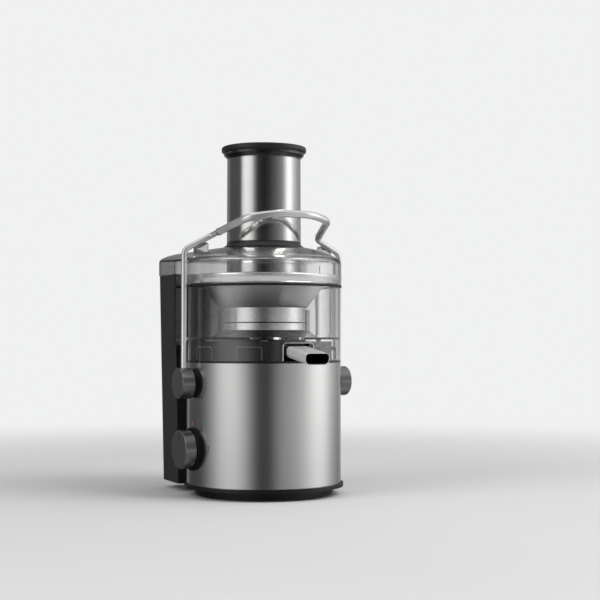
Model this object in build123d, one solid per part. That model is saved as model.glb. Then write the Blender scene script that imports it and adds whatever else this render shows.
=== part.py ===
"""A centrifugal juicer: motor base, clear bowl, spinning basket, clear lid and locking handle.

Millimetres. +Z is up, the front (the spout) is -Y, and the origin is on the motor's axis at
table level. Every function returns one sub-part, and each sub-part becomes one STEP file.
"""
from build123d import *
from math import acos, cos, radians, sin, sqrt, tan
import os

# ---- clearances ---------------------------------------------------------------------------
RUNNING = 0.1           # radial play of a pin or shaft in its bush
FIT = 0.1               # radial play between pieces that are held together
SEAT = 0.05             # play along a stack of pieces that are screwed together
SLIDE = 0.3             # play beside a piece that slides, swings or lifts

# ---- base casing --------------------------------------------------------------------------
BODY_R = 95.0           # steel wrap, outer radius
WRAP_WALL = 1.2
LIP_R = BODY_R + 3.0
LIP_Z = 10.0            # underside of the base's lip
WRAP_Z0 = 14.5
WRAP_Z1 = 161.5
SKIRT_TOP_R = BODY_R - 8.0
SKIRT_FOOT_R = SKIRT_TOP_R - 3.0
SKIRT_Z = 1.0
SKIRT_WALL = 3.0
UPSTAND = 4.0           # height of the skirt's rim inside the wrap
COVER_Z = 4.0           # underside of the bottom cover
COVER_T = 3.0
FOOT_R = 9.0
FOOT_CIRCLE = SKIRT_FOOT_R - 16.0
FOOT_ANGLES = (45, 135, 225, 315)
FOOT_HOLLOW = 1.0
REAR_ANGLE = 90.0       # arc of the plastic rear panel
REAR_WALL = 2.5
REAR_JOINT = 0.1        # degrees between the wrap and the rear panel, at each side
VENT_X = 40.0           # half length of a rear cooling slot
VENT_ROWS = 6
VENT_Z = 40.0           # underside of the lowest slot
VENT_STEP = 10.0
VENT_H = 4.0

# ---- deck with its posts and the collar that carries the bowl -----------------------------
DECK_T = 3.5
DECK_LIP_T = 2.5
COLLAR_R = BODY_R - 11.0
COLLAR_WALL = 3.0
COLLAR_Z = WRAP_Z1 + 25.5
COLLAR_TOP_T = 3.0
POST_R = 6.0
POST_CIRCLE = SKIRT_FOOT_R - 12.0
POST_ANGLES = (60, 120, 240, 300)
POST_BORE = 2.0

# ---- motor, which hangs from the deck -----------------------------------------------------
SHAFT_R = 4.0
SHAFT_Z0 = WRAP_Z1 - 123.5
SHAFT_Z1 = COLLAR_Z + 21.0
SEAL_R = SHAFT_R + 6.0
BEARING_R = SHAFT_R + 7.0
BEARING_T = 7.0
LOWER_BEARING_Z = SHAFT_Z0 + 5.0
UPPER_BEARING_Z = SHAFT_Z0 + 104.0
BRACKET_R = 47.0
BRACKET_WALL = 2.6
BRACKET_T = 4.0
BUSH_R = 7.0
BUSH_CIRCLE = BRACKET_R + 9.0
MOUNT_ANGLES = (45, 135, 225, 315)
EAR_R = BUSH_CIRCLE + 11.0
EAR_T = 4.0
STATOR_Z0 = SHAFT_Z0 + 42.0
STATOR_H = 40.0
STATOR_BORE = 27.0
STATOR_POLE = STATOR_BORE + 3.0  # inner radius between the two poles
COIL_H = 8.0
COIL_R0 = STATOR_POLE + 0.5
COIL_R1 = COIL_R0 + 10.5
ARMATURE_R = STATOR_BORE - 0.8
ARMATURE_SLOTS = 12
WINDING_R = ARMATURE_R - 4.2
WINDING_H = 6.0
COMMUTATOR_R = 13.0
COMMUTATOR_Z = SHAFT_Z0 + 22.0
COMMUTATOR_H = 14.0
BRUSH = (7.0, 8.0)      # width and height of a carbon brush
BRUSH_LENGTH = 16.0
BRUSH_Z = COMMUTATOR_Z + 2.5
BRUSH_HOLDER_WALL = 2.0
FAN_R = 36.0
FAN_Z = SHAFT_Z0 + 92.5
FAN_H = 7.0
FAN_BLADES = 11
SCREW_R = 2.4
SCREW_HEAD_R = 4.4
SCREW_HEAD_H = 3.0

# ---- controls -----------------------------------------------------------------------------
PIVOT_Z = WRAP_Z1 - 24.5
PIVOT_PIN_R = 5.0
PIVOT_RING_X = BODY_R + 3.5      # outer face of the black rings
KNOB_R = 18.5
PIVOT_RING_R = KNOB_R - 1.5
KNOB_X0 = PIVOT_RING_X + 0.9
KNOB_X1 = KNOB_X0 + 15.6
CAM_R = 8.5
CAM_OFFSET = 3.0
CAM_LEAD = 20.0         # degrees past straight down, at rest
CAM_X0 = BODY_R - 15.0
CAM_T = 6.0
DIAL_Z = 58.0
DIAL_R = 23.0
DIAL_X0 = PIVOT_RING_X + 0.9
DIAL_X1 = DIAL_X0 + 13.6
DIAL_SHAFT_R = 3.5
BEZEL_R = DIAL_R + 2.8
SWITCH_X = BODY_R - 17.0         # face of the rotary switch
SWITCH_SIZE = (16.0, 28.0, 28.0)
PLUNGER_R = 2.5
PLUNGER_TRAVEL = 2.4
PLUNGER_GAP = 0.5
INTERLOCK = (12.0, 24.0, 16.0)
TAB_T = 3.0
BOARD = (56.0, 1.6, 62.0)
BOARD_Y = SKIRT_FOOT_R - 18.0
GLAND_ANGLE = 30.0
GLAND_Z = 30.0
GLAND_R = 6.0
GLAND_BORE = 3.6
GLAND_OUT = 9.0         # how far the gland stands out of the wrap
GLAND_IN = 5.0

# ---- bowl, filter bowl and spout ----------------------------------------------------------
BOWL_WALL = 2.5
BOWL_FLOOR_Z = COLLAR_Z + 5.0
BOWL_FLOOR_T = 2.5
BOWL_Z1 = BOWL_FLOOR_Z + 61.0
CHUTE_X = BODY_R - 2.0           # half width of the straight rear sides
CHUTE_Y = 63.7
CHUTE_Z = COLLAR_Z - 4.5
HUB_HOLE_R = 15.0
FILTER_R = BODY_R - BOWL_WALL - 5.3
FILTER_WALL = 2.0
FILTER_Z = BOWL_Z1 - 1.0
GASKET_T = 3.0
GASKET_IN = 1.2         # how far the gasket stands inside the bowl's wall
GASKET_OUT = 1.0
DRAIN = (22.0, 14.0)
DRAIN_Y = 19.0 - BODY_R
SPOUT_W = 31.5
SPOUT_H = 13.9
SPOUT_WALL = 1.2
SPOUT_FOOT_ROUND = 0.46  # corner radii, as shares of the height
SPOUT_TOP_ROUND = 0.34
SPOUT_TIP_Y = -BODY_R - 45.0
SPOUT_ROOT_Y = DRAIN_Y + 12.0
SPOUT_TIP_Z = WRAP_Z1 - 1.2      # underside at the mouth
SPOUT_SLOPE = 8.6
WINDOW_W = 40.0
WINDOW_Z = COLLAR_Z - 1.6
WINDOW_CORNER = 4.0

# ---- basket and the guard round its hub ---------------------------------------------------
COUPLING_R = SHAFT_R + 8.0
COUPLING_Z = COLLAR_Z + 1.5
COUPLING_TEETH = 8
HUB_R = 51.0
HUB_Z = BOWL_FLOOR_Z + 9.0
HUB_WALL = 2.0
HUB_GROOVE_Z = HUB_Z + 9.0
HUB_GROOVE = 0.8        # depth and half height of the groove
GRATER_R = HUB_R + 1.0
GRATER_Z = HUB_Z + 27.0
GRATER_T = 2.5
GRATER_TEETH = 12
SIEVE_R = FILTER_R - 11.2
SIEVE_Z = GRATER_Z + 31.0
SIEVE_T = 1.0
SIEVE_LEAN = 38.0       # degrees from upright
RIM_R = SIEVE_R + 3.0
RIM_H = 4.0
HUB_WALL_R = HUB_R + 6.2
HUB_WALL_T = 2.0
HUB_WALL_Z = GRATER_Z - 2.0
HUB_FLARE = 6.0         # how far the guard's foot spreads over the floor

# ---- lid and pusher -----------------------------------------------------------------------
CHUTE_BORE = 43.0
CHUTE_FOOT_Z = SIEVE_Z + 8.0
TUBE_R = CHUTE_BORE + 2.4
TUBE_DRAFT = 0.4        # how much wider the tube is at the dome
LID_R = BODY_R + 0.5
LID_WALL = 2.5
LID_FOOT_Z = BOWL_Z1 + GASKET_T + SEAT
LID_SHOULDER_Z = BOWL_Z1 + 34.0  # where wall and dome would meet without the rounding
LID_SHOULDER_R = 7.0
DOME_MID = (LID_R - 23.5, LID_SHOULDER_Z + 10.6)
DOME_TOP = (TUBE_R - 1.4, LID_SHOULDER_Z + 15.8)
TUBE_FOOT_Z = DOME_TOP[1] - 0.8
TUBE_Z1 = TUBE_FOOT_Z + 110.5
TUBE_RIM_R = TUBE_R + 4.1
RIM_TOP_Z = TUBE_Z1 + 7.0
RIM_LIP = 3.0
REAR_START = 10.0       # where the straight rear part begins
REAR_EDGE_R = 5.0
LEDGE = 0.8
LEDGE_Z = BOWL_Z1 + 14.0
LEDGE_H = 1.5
PAD_X1 = LID_R - 2.5
PAD_X0 = PAD_X1 - 17.0
PAD_FOOT_Z = LID_SHOULDER_Z - 7.0
PAD_W = 16.0
PAD_SIDE_R = 6.0
PAD_TOP_R = 3.0
PUSHER_R = CHUTE_BORE - FIT - SLIDE
PUSHER_WALL = 1.2
PUSHER_FOOT_Z = CHUTE_FOOT_Z + 1.5
CAP_R = TUBE_RIM_R + 2.9
CAP_Z1 = RIM_TOP_Z + 7.5
CAP_EDGE = 2.4

# ---- handle -------------------------------------------------------------------------------
LEG_R = 3.5
GRIP_R = 4.5
LEG_X = KNOB_X0 + 7.1
LEG_TOP = (LEG_X, 0.0, LID_SHOULDER_Z + 10.5)
LEG_TURN = (73.0, -3.0, LEG_TOP[2] + 17.5)
BOW_CORNER = (54.0, -66.0, LEG_TOP[2] + 35.5)
BOW_FRONT = (25.0, -81.0, LEG_TOP[2] + 40.8)
HANDLE_RADII = (11.0, 9.0, 24.0, 60.0)
GRIP_START = 0.24       # where the grip begins, as a share of the run from the turn to the bow

# ---- pulp container -----------------------------------------------------------------------
BIN_FRONT = CHUTE_Y + SLIDE
BIN_ARC_R = LIP_R + 0.5
BIN_X = CHUTE_X - 1.0            # half width at the rim's front
BIN_X_BACK = BIN_X - 5.0
BIN_BACK = LIP_R + 43.0
BIN_DRAFT = 5.0         # how much narrower each side is at the bottom
BIN_BACK_DRAFT = 3.0
BIN_CORNER = 20.0
BIN_FLOOR_Z = 15.0
BIN_SKIRT_Z = LIP_Z
BIN_TOP_Z = BOWL_Z1 + 18.0
BIN_WALL = 2.5
TONGUE_X = 35.0
TONGUE_BACK = LIP_R + 17.0
TONGUE_T = 6.0

UP = (Align.CENTER, Align.CENTER, Align.MIN)
CORNER = (Align.MIN, Align.MIN, Align.MIN)


# ---- helpers ------------------------------------------------------------------------------
def disc(radius, z0, z1, at=(0.0, 0.0)):
    """An upright cylinder between two heights."""
    return Pos(at[0], at[1], z0) * Cylinder(radius, z1 - z0, align=UP)


def ring(outer, inner, z0, z1, at=(0.0, 0.0)):
    """An upright tube between two heights."""
    return disc(outer, z0, z1, at) - disc(inner, z0, z1, at)


def block(x0, x1, y0, y1, z0, z1):
    """A box between two corners."""
    return Pos(x0, y0, z0) * Box(x1 - x0, y1 - y0, z1 - z0, align=CORNER)


def axle(radius, x0, x1, z, y=0.0):
    """A cylinder that lies along X."""
    return Pos(x0, y, z) * Rot(0, 90, 0) * Cylinder(radius, x1 - x0, align=UP)


def turned(points):
    """A solid of revolution about the motor's axis, from (radius, height) points."""
    outline = [Vector(r, 0, z) for r, z in points]
    return revolve(make_face(Polyline(*outline, close=True)), Axis.Z)


def around(radius, angles):
    """Points at the given angles on a circle about the motor's axis."""
    return [(radius * cos(radians(a)), radius * sin(radians(a))) for a in angles]


def rims(shape, radius):
    """The circular edges of one radius."""
    circles = shape.edges().filter_by(GeomType.CIRCLE)
    return circles.filter_by(lambda edge: abs(edge.radius - radius) < 0.01)


def together(pieces):
    """Several solids kept separate in one node."""
    return Compound(children=[solid for piece in pieces for solid in piece.solids()])


def mirrored(shape):
    """The same piece on the other side of the machine."""
    return mirror(shape, Plane.YZ)


def bent_path(points, radii):
    """Straight runs through the points, joined by tangent arcs."""
    corners = [Vector(*p) for p in points]
    edges = []
    start = corners[0]
    for before, corner, after, radius in zip(corners, corners[1:], corners[2:], radii):
        back = (before - corner).normalized()
        ahead = (after - corner).normalized()
        half = acos(max(-1.0, min(1.0, back.dot(ahead)))) / 2
        reach = radius / tan(half)
        bisector = (back + ahead).normalized()
        centre = corner + bisector * (radius / sin(half))
        first = corner + back * reach
        last = corner + ahead * reach
        edges.append(Edge.make_line(start, first))
        edges.append(Edge.make_three_point_arc(first, centre - bisector * radius, last))
        start = last
    edges.append(Edge.make_line(start, corners[-1]))
    return Wire(edges)


def rod(radius, points, radii):
    """A round rod along a bent path."""
    heading = Vector(*points[1]) - Vector(*points[0])
    section = Plane(origin=points[0], z_dir=heading) * Circle(radius)
    return sweep(section, path=bent_path(points, radii))


# ---- base casing --------------------------------------------------------------------------
def rubber_feet():
    """Four discs pressed against the bottom cover."""
    feet = []
    for at in around(FOOT_CIRCLE, FOOT_ANGLES):
        feet.append(disc(FOOT_R, 0, COVER_Z, at) - disc(FOOT_R / 3, 0, FOOT_HOLLOW, at))
    return together(feet)


def cover_radius():
    return SKIRT_FOOT_R - SKIRT_WALL - FIT


def bottom_cover():
    """The round plate that closes the base, with vents, screw holes and the board's ribs."""
    top = COVER_Z + COVER_T
    plate = disc(cover_radius(), COVER_Z, top)
    for at in around(POST_CIRCLE, POST_ANGLES):
        plate -= disc(SCREW_R + FIT, COVER_Z, top, at)
    for index in range(-3, 4):
        slot = Pos(index * 9, 0, COVER_Z) * extrude(SlotOverall(50, 4, rotation=90), COVER_T)
        plate -= slot
    y0, y1 = BOARD_Y - BOARD[1] / 2, BOARD_Y + BOARD[1] / 2
    for x in (-18.0, 12.0):
        plate += block(x, x + 6, y0 - FIT - 2, y0 - FIT, COVER_Z, top + 6)
        plate += block(x, x + 6, y1 + FIT, y1 + FIT + 2, COVER_Z, top + 6)
    return plate


def bottom_screws():
    """Screws that hold the bottom cover to the deck's posts."""
    screws = []
    for at in around(POST_CIRCLE, POST_ANGLES):
        head = disc(SCREW_HEAD_R, COVER_Z - SCREW_HEAD_H + SEAT, COVER_Z - SEAT, at)
        shank = disc(POST_BORE - FIT, COVER_Z - SEAT, COVER_Z + COVER_T + 10, at)
        screws.append(head + shank)
    return together(screws)


def base_skirt():
    """The black ring that the steel wrap stands on, with the rear tongue for the container."""
    body = turned([
        (SKIRT_FOOT_R, SKIRT_Z), (SKIRT_TOP_R, LIP_Z), (LIP_R, LIP_Z), (LIP_R, WRAP_Z0),
        (BODY_R - WRAP_WALL - FIT, WRAP_Z0), (BODY_R - WRAP_WALL - FIT, WRAP_Z0 + UPSTAND),
        (BODY_R - WRAP_WALL - FIT - SKIRT_WALL, WRAP_Z0 + UPSTAND),
        (BODY_R - WRAP_WALL - FIT - SKIRT_WALL, WRAP_Z0),
        (SKIRT_FOOT_R - SKIRT_WALL, COVER_Z + COVER_T), (SKIRT_FOOT_R - SKIRT_WALL, SKIRT_Z),
    ])
    top = BIN_FLOOR_Z - SLIDE
    tongue = block(-TONGUE_X, TONGUE_X, SKIRT_TOP_R - 1, TONGUE_BACK, top - TONGUE_T, top)
    tongue = fillet(tongue.edges().filter_by(Axis.Z).group_by(Axis.Y)[-1], 8)
    tongue -= disc(BODY_R + FIT, WRAP_Z0, top)
    return body + tongue


def wrap_shell(wall, z0, z1, start, sweep_angle):
    """Part of the round casing wall, from one angle round to another."""
    shell = ring(BODY_R, BODY_R - wall, z0, z1)
    big = 2 * BODY_R
    sector = Polyline((0, 0), *around(big, [start + sweep_angle * k / 4 for k in range(5)]), (0, 0))
    return shell & Pos(0, 0, z0) * extrude(make_face(sector), z1 - z0)


def steel_wrap():
    """The brushed steel casing, open at the back, with holes for pivots, dial and cord."""
    start = 90 + REAR_ANGLE / 2 + REAR_JOINT
    reach = 360 - REAR_ANGLE - 2 * REAR_JOINT
    wrap = wrap_shell(WRAP_WALL, WRAP_Z0 + SEAT, WRAP_Z1 - SEAT, start, reach)
    hole = axle(PIVOT_RING_R + FIT, CAM_X0, KNOB_X1, PIVOT_Z)
    wrap -= hole
    wrap -= mirrored(hole)
    wrap -= mirrored(axle(BEZEL_R + FIT, SWITCH_X, KNOB_X1, DIAL_Z))
    return wrap - gland_hole()


def rear_panel():
    """The black panel behind the container, with cooling slots."""
    start = 90 - REAR_ANGLE / 2 + REAR_JOINT
    reach = REAR_ANGLE - 2 * REAR_JOINT
    panel = wrap_shell(REAR_WALL, WRAP_Z0 + SEAT, WRAP_Z1 - SEAT, start, reach)
    relief = BODY_R - REAR_WALL - 1
    panel -= ring(BODY_R - WRAP_WALL, relief, WRAP_Z0, WRAP_Z0 + UPSTAND + SEAT)
    panel -= ring(BODY_R - WRAP_WALL, relief, WRAP_Z1 - DECK_T - SEAT, WRAP_Z1)
    for row in range(VENT_ROWS):
        z = VENT_Z + row * VENT_STEP
        panel -= block(-VENT_X, VENT_X, 0, BODY_R + 1, z, z + VENT_H)
    return panel


# ---- deck ---------------------------------------------------------------------------------
def deck():
    """The black top of the base: plate, lip, posts, bowl collar and the interlock's tab."""
    plate_z = WRAP_Z1 - DECK_T
    top = WRAP_Z1 + DECK_LIP_T
    body = disc(BODY_R - WRAP_WALL - FIT, plate_z, WRAP_Z1) + disc(BODY_R, WRAP_Z1, top)
    body -= disc(COLLAR_R - COLLAR_WALL - 4, plate_z + DECK_T + 1, top)
    body += ring(COLLAR_R, COLLAR_R - COLLAR_WALL, top, COLLAR_Z)
    body += disc(COLLAR_R, COLLAR_Z - COLLAR_TOP_T, COLLAR_Z)
    body -= disc(SEAL_R + FIT, COLLAR_Z - COLLAR_TOP_T, COLLAR_Z)
    body -= disc(SHAFT_R + 3, plate_z, top)
    for at in around(POST_CIRCLE, POST_ANGLES):
        body += disc(POST_R, COVER_Z + COVER_T + SEAT, plate_z, at)
        body -= disc(POST_BORE, COVER_Z + COVER_T, COVER_Z + COVER_T + 12, at)
    for at in around(BUSH_CIRCLE, MOUNT_ANGLES):
        body -= disc(SCREW_R + FIT, plate_z, plate_z + DECK_T + 0.5, at)
    for angle in range(-140, 180, 40):
        body += collar_tab(angle)
    notch = WINDOW_W / 2
    body -= block(-notch, notch, -BODY_R, SPOUT_ROOT_Y + 3, top, COLLAR_Z)
    tab_y = INTERLOCK[1] / 2 + FIT
    body += block(CAM_X0 - 2, CAM_X0 + 8, tab_y, tab_y + TAB_T, interlock_top() - INTERLOCK[2], plate_z)
    return body


def collar_tab(angle):
    """A bayonet tab on the collar, which the bowl turns under."""
    tab = block(COLLAR_R - 1, COLLAR_R + 3, -11, 11, WRAP_Z1 + 14.5, WRAP_Z1 + 18)
    return Rot(0, 0, angle) * tab


def shaft_seal():
    """The rubber seal where the motor shaft leaves the collar."""
    seal = ring(SEAL_R, SHAFT_R + RUNNING, COLLAR_Z - COLLAR_TOP_T, COLLAR_Z)
    return seal - ring(SEAL_R - 2, SHAFT_R + 2, COLLAR_Z - 1, COLLAR_Z)


# ---- motor --------------------------------------------------------------------------------
def bearing(z):
    """A ball bearing, drawn as one ring with shielded faces."""
    body = ring(BEARING_R, SHAFT_R + FIT / 2, z, z + BEARING_T)
    groove = ring(BEARING_R - 2, SHAFT_R + 2, z + BEARING_T - 0.6, z + BEARING_T)
    return body - groove


def lower_bearing():
    return bearing(LOWER_BEARING_Z)


def upper_bearing():
    return bearing(UPPER_BEARING_Z)


def lower_bracket():
    """The cup under the motor, with the lower bearing's seat and air windows."""
    z0 = LOWER_BEARING_Z - BRACKET_T
    seat_z = LOWER_BEARING_Z
    cup = ring(BRACKET_R, BRACKET_R - BRACKET_WALL, z0, STATOR_Z0 + 8)
    cup += disc(BRACKET_R, z0, seat_z)
    cup += ring(BEARING_R + 4, BEARING_R + FIT, seat_z, seat_z + BEARING_T)
    cup -= disc(SHAFT_R + 1, z0, seat_z)
    for angle in MOUNT_ANGLES:
        cup -= Rot(0, 0, angle) * block(20, 60, -8, 8, z0 + 12, STATOR_Z0 - 8)
    half = BRUSH[0] / 2 + BRUSH_HOLDER_WALL + FIT
    z1 = COMMUTATOR_Z + COMMUTATOR_H
    return cup - block(-60, 60, -half, half, COMMUTATOR_Z, z1)


def upper_bracket():
    """The cap over the motor, with the upper bearing's seat and four ears."""
    top = UPPER_BEARING_Z + BEARING_T + 1
    cap = ring(BRACKET_R, BRACKET_R - BRACKET_WALL, STATOR_Z0 + STATOR_H - 8, top - EAR_T)
    cap += disc(BRACKET_R, top - EAR_T, top)
    for at in around(BUSH_CIRCLE, MOUNT_ANGLES):
        cap += disc(EAR_R - BUSH_CIRCLE, top - EAR_T, top, at)
        cap -= disc(SCREW_R + FIT, top - EAR_T, top, at)
    cap += disc(BEARING_R + 4, UPPER_BEARING_Z, top)
    cap -= disc(BEARING_R + FIT, UPPER_BEARING_Z, UPPER_BEARING_Z + BEARING_T)
    cap -= disc(SHAFT_R + 1, UPPER_BEARING_Z, top)
    for angle in (0, 90, 180, 270):
        cap -= Rot(0, 0, angle) * block(20, 60, -9, 9, STATOR_Z0 + STATOR_H + 4, top - EAR_T - 4)
    return cap


def motor_mount_bushes():
    """Rubber bushes between the motor's ears and the deck."""
    z0 = UPPER_BEARING_Z + BEARING_T + 1
    places = around(BUSH_CIRCLE, MOUNT_ANGLES)
    return together([ring(BUSH_R, SCREW_R + FIT, z0, WRAP_Z1 - DECK_T, at) for at in places])


def motor_screws():
    """Screws up through the ears and bushes into the deck."""
    z0 = UPPER_BEARING_Z + BEARING_T + 1 - EAR_T - SEAT
    screws = []
    for at in around(BUSH_CIRCLE, MOUNT_ANGLES):
        head = disc(SCREW_HEAD_R, z0 - SCREW_HEAD_H, z0, at)
        screws.append(head + disc(SCREW_R, z0, WRAP_Z1, at))
    return together(screws)


def stator_core():
    """The laminated ring with its two pole shoes."""
    outer = BRACKET_R - BRACKET_WALL - FIT
    core = ring(outer, STATOR_POLE + 11.5, STATOR_Z0, STATOR_Z0 + STATOR_H)
    poles = ring(outer, STATOR_BORE, STATOR_Z0, STATOR_Z0 + STATOR_H)
    return core + (poles & block(-60, 60, -20, 20, STATOR_Z0, STATOR_Z0 + STATOR_H))


def stator_coils():
    """The field coils' end turns above and below the core."""
    low = ring(COIL_R1, COIL_R0, STATOR_Z0 - COIL_H, STATOR_Z0 - SEAT)
    high_z = STATOR_Z0 + STATOR_H
    high = ring(COIL_R1, COIL_R0, high_z + SEAT, high_z + COIL_H)
    low = fillet(low.edges().group_by(Axis.Z)[0], 3)
    high = fillet(high.edges().group_by(Axis.Z)[-1], 3)
    return together([low, high])


def rotor_shaft():
    """The motor's shaft, from the lower bearing up to the basket."""
    shaft = disc(SHAFT_R, SHAFT_Z0, SHAFT_Z1)
    return chamfer(shaft.edges().group_by(Axis.Z)[-1], 0.8)


def armature_core():
    """The slotted, laminated rotor."""
    core = ring(ARMATURE_R, SHAFT_R, STATOR_Z0 + 1, STATOR_Z0 + STATOR_H - 1)
    for index in range(ARMATURE_SLOTS):
        slot = block(ARMATURE_R - 8, ARMATURE_R + 1, -1.2, 1.2, STATOR_Z0, STATOR_Z0 + STATOR_H)
        core -= Rot(0, 0, index * 360 / ARMATURE_SLOTS) * slot
    return core


def armature_windings():
    """The windings' end turns on both sides of the rotor core."""
    low_z = STATOR_Z0 + 1 - SEAT
    high_z = STATOR_Z0 + STATOR_H - 1 + SEAT
    low = ring(WINDING_R, SHAFT_R + FIT / 2, low_z - WINDING_H, low_z)
    high = ring(WINDING_R, SHAFT_R + FIT / 2, high_z, high_z + WINDING_H)
    low = fillet(rims(low, WINDING_R).sort_by(Axis.Z)[0], 3)
    high = fillet(rims(high, WINDING_R).sort_by(Axis.Z)[-1], 3)
    return together([low, high])


def commutator():
    """The copper commutator, with its bars marked by slots."""
    body = ring(COMMUTATOR_R, SHAFT_R + FIT / 2, COMMUTATOR_Z, COMMUTATOR_Z + COMMUTATOR_H - 0.2)
    for index in range(2 * ARMATURE_SLOTS):
        slot = block(COMMUTATOR_R - 1, COMMUTATOR_R + 1, -0.3, 0.3, COMMUTATOR_Z, COMMUTATOR_Z + 12)
        body -= Rot(0, 0, index * 180 / ARMATURE_SLOTS) * slot
    return body


def carbon_brushes():
    """Two carbon blocks that ride on the commutator."""
    x0 = COMMUTATOR_R + SLIDE
    brush = block(x0, x0 + BRUSH_LENGTH, -BRUSH[0] / 2, BRUSH[0] / 2, BRUSH_Z, BRUSH_Z + BRUSH[1])
    return together([brush, mirrored(brush)])


def brush_holders():
    """Square tubes that guide the brushes, held in the lower bracket's wall."""
    wall = BRUSH_HOLDER_WALL
    half = BRUSH[0] / 2
    x0 = COMMUTATOR_R + 4
    x1 = BRACKET_R + 1
    z0, z1 = BRUSH_Z, BRUSH_Z + BRUSH[1]
    holder = block(x0, x1, -half - wall, half + wall, z0 - wall, z1 + wall - 1)
    holder -= block(x0, x1 - wall, -half - FIT, half + FIT, z0 - FIT, z1 + FIT)
    return together([holder, mirrored(holder)])


def cooling_fan():
    """The fan on the shaft above the armature."""
    fan = ring(12, SHAFT_R + FIT / 2, FAN_Z, FAN_Z + FAN_H) + ring(FAN_R, 11, FAN_Z, FAN_Z + 1.5)
    for index in range(FAN_BLADES):
        blade = block(11, FAN_R, -0.8, 0.8, FAN_Z, FAN_Z + FAN_H)
        fan += Rot(0, 0, index * 360 / FAN_BLADES) * Pos(0, 4, 0) * blade & disc(FAN_R, FAN_Z, FAN_Z + FAN_H)
    return fan


# ---- controls -----------------------------------------------------------------------------
def pivot_bush(side):
    """The black ring and sleeve that a handle pin turns in."""
    flange = axle(PIVOT_RING_R, BODY_R - 3.5, PIVOT_RING_X, PIVOT_Z)
    flange = chamfer(flange.edges().group_by(Axis.X)[-1], 1.0)
    sleeve = axle(PIVOT_PIN_R + 3, CAM_X0 + CAM_T + 1.5, BODY_R - 3, PIVOT_Z)
    bush = flange + sleeve - axle(PIVOT_PIN_R + RUNNING, CAM_X0, KNOB_X1, PIVOT_Z)
    return bush if side > 0 else mirrored(bush)


def pivot_knob(side):
    """The round steel cap over a pivot, bored for the leg and the pin."""
    knob = axle(KNOB_R, KNOB_X0, KNOB_X1, PIVOT_Z)
    knob = fillet(knob.edges().group_by(Axis.X)[-1], 1.2)
    knob -= axle(PIVOT_PIN_R + FIT / 2, KNOB_X0, pin_end() + SEAT, PIVOT_Z)
    knob -= disc(LEG_R + FIT / 2, PIVOT_Z, PIVOT_Z + KNOB_R + 1, (LEG_X, 0))
    return knob if side > 0 else mirrored(knob)


def pin_end():
    """Where a pivot pin stops, just inside the leg."""
    return LEG_X - LEG_R - SEAT


def pivot_pin(side):
    """A handle pin. The right one carries the cam that works the interlock."""
    pin = axle(PIVOT_PIN_R, CAM_X0, pin_end(), PIVOT_Z)
    if side < 0:
        return mirrored(pin + axle(PIVOT_PIN_R + 2.5, CAM_X0, CAM_X0 + CAM_T, PIVOT_Z))
    y = CAM_OFFSET * sin(radians(CAM_LEAD))
    z = PIVOT_Z - CAM_OFFSET * cos(radians(CAM_LEAD))
    pin -= axle(CAM_R, CAM_X0, CAM_X0 + CAM_T, z, y)
    return pin + axle(CAM_R, CAM_X0, CAM_X0 + CAM_T, z, y)


def plunger_top():
    """The top of the plunger at rest, just under the cam."""
    return PIVOT_Z - CAM_R - CAM_OFFSET * cos(radians(CAM_LEAD)) - PLUNGER_GAP


def interlock_top():
    """The top face of the interlock switch."""
    return plunger_top() - PLUNGER_TRAVEL - 2.0


def interlock_plunger():
    """The pin that the cam presses while the handle is locked."""
    x = CAM_X0 + CAM_T / 2
    stem = disc(PLUNGER_R, interlock_top() - 6, plunger_top(), (x, 0))
    return fillet(stem.edges().group_by(Axis.Z)[-1], 0.8)


def interlock_switch():
    """The microswitch under the plunger."""
    x = CAM_X0 + CAM_T / 2
    top = interlock_top()
    half_x, half_y = INTERLOCK[0] / 2, INTERLOCK[1] / 2
    body = block(x - half_x, x + half_x, -half_y, half_y, top - INTERLOCK[2], top)
    body -= disc(PLUNGER_R + RUNNING, top - 7, top, (x, 0))
    for y in (-8, 0, 8):
        body += block(x - 2, x + 2, y - 0.5, y + 0.5, top - INTERLOCK[2] - 6, top - INTERLOCK[2])
    return body


def dial_bezel():
    """The black ring round the dial, with the sleeve that its shaft turns in."""
    flange = axle(BEZEL_R, BODY_R - 5, PIVOT_RING_X, DIAL_Z)
    flange = chamfer(flange.edges().group_by(Axis.X)[-1], 1.0)
    bezel = flange + axle(9, SWITCH_X + SEAT, BODY_R - 4, DIAL_Z)
    return mirrored(bezel - axle(DIAL_SHAFT_R + RUNNING, SWITCH_X, KNOB_X1, DIAL_Z))


def speed_dial():
    """The steel dial, with a pointer groove at the top of its face."""
    dial = axle(DIAL_R, DIAL_X0, DIAL_X1, DIAL_Z)
    dial = fillet(dial.edges().group_by(Axis.X)[-1], 1.2)
    dial -= axle(DIAL_SHAFT_R + FIT / 2, DIAL_X0, DIAL_X1 - 3, DIAL_Z)
    groove = block(DIAL_X1 - 0.6, DIAL_X1 + 1, -0.8, 0.8, DIAL_Z + 10, DIAL_Z + 20)
    return mirrored(dial - groove)


def dial_shaft():
    """The shaft from the dial into the rotary switch."""
    return mirrored(axle(DIAL_SHAFT_R, SWITCH_X - 8, DIAL_X1 - 3 - SEAT, DIAL_Z))


def rotary_switch():
    """The speed switch behind the dial."""
    depth, width, height = SWITCH_SIZE
    x0 = SWITCH_X - depth
    body = block(x0, SWITCH_X, -width / 2, width / 2, DIAL_Z - height / 2, DIAL_Z + height / 2)
    body = chamfer(body.edges().filter_by(Axis.X), 4)
    return mirrored(body - axle(DIAL_SHAFT_R + RUNNING, SWITCH_X - 9, SWITCH_X, DIAL_Z))


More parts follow.
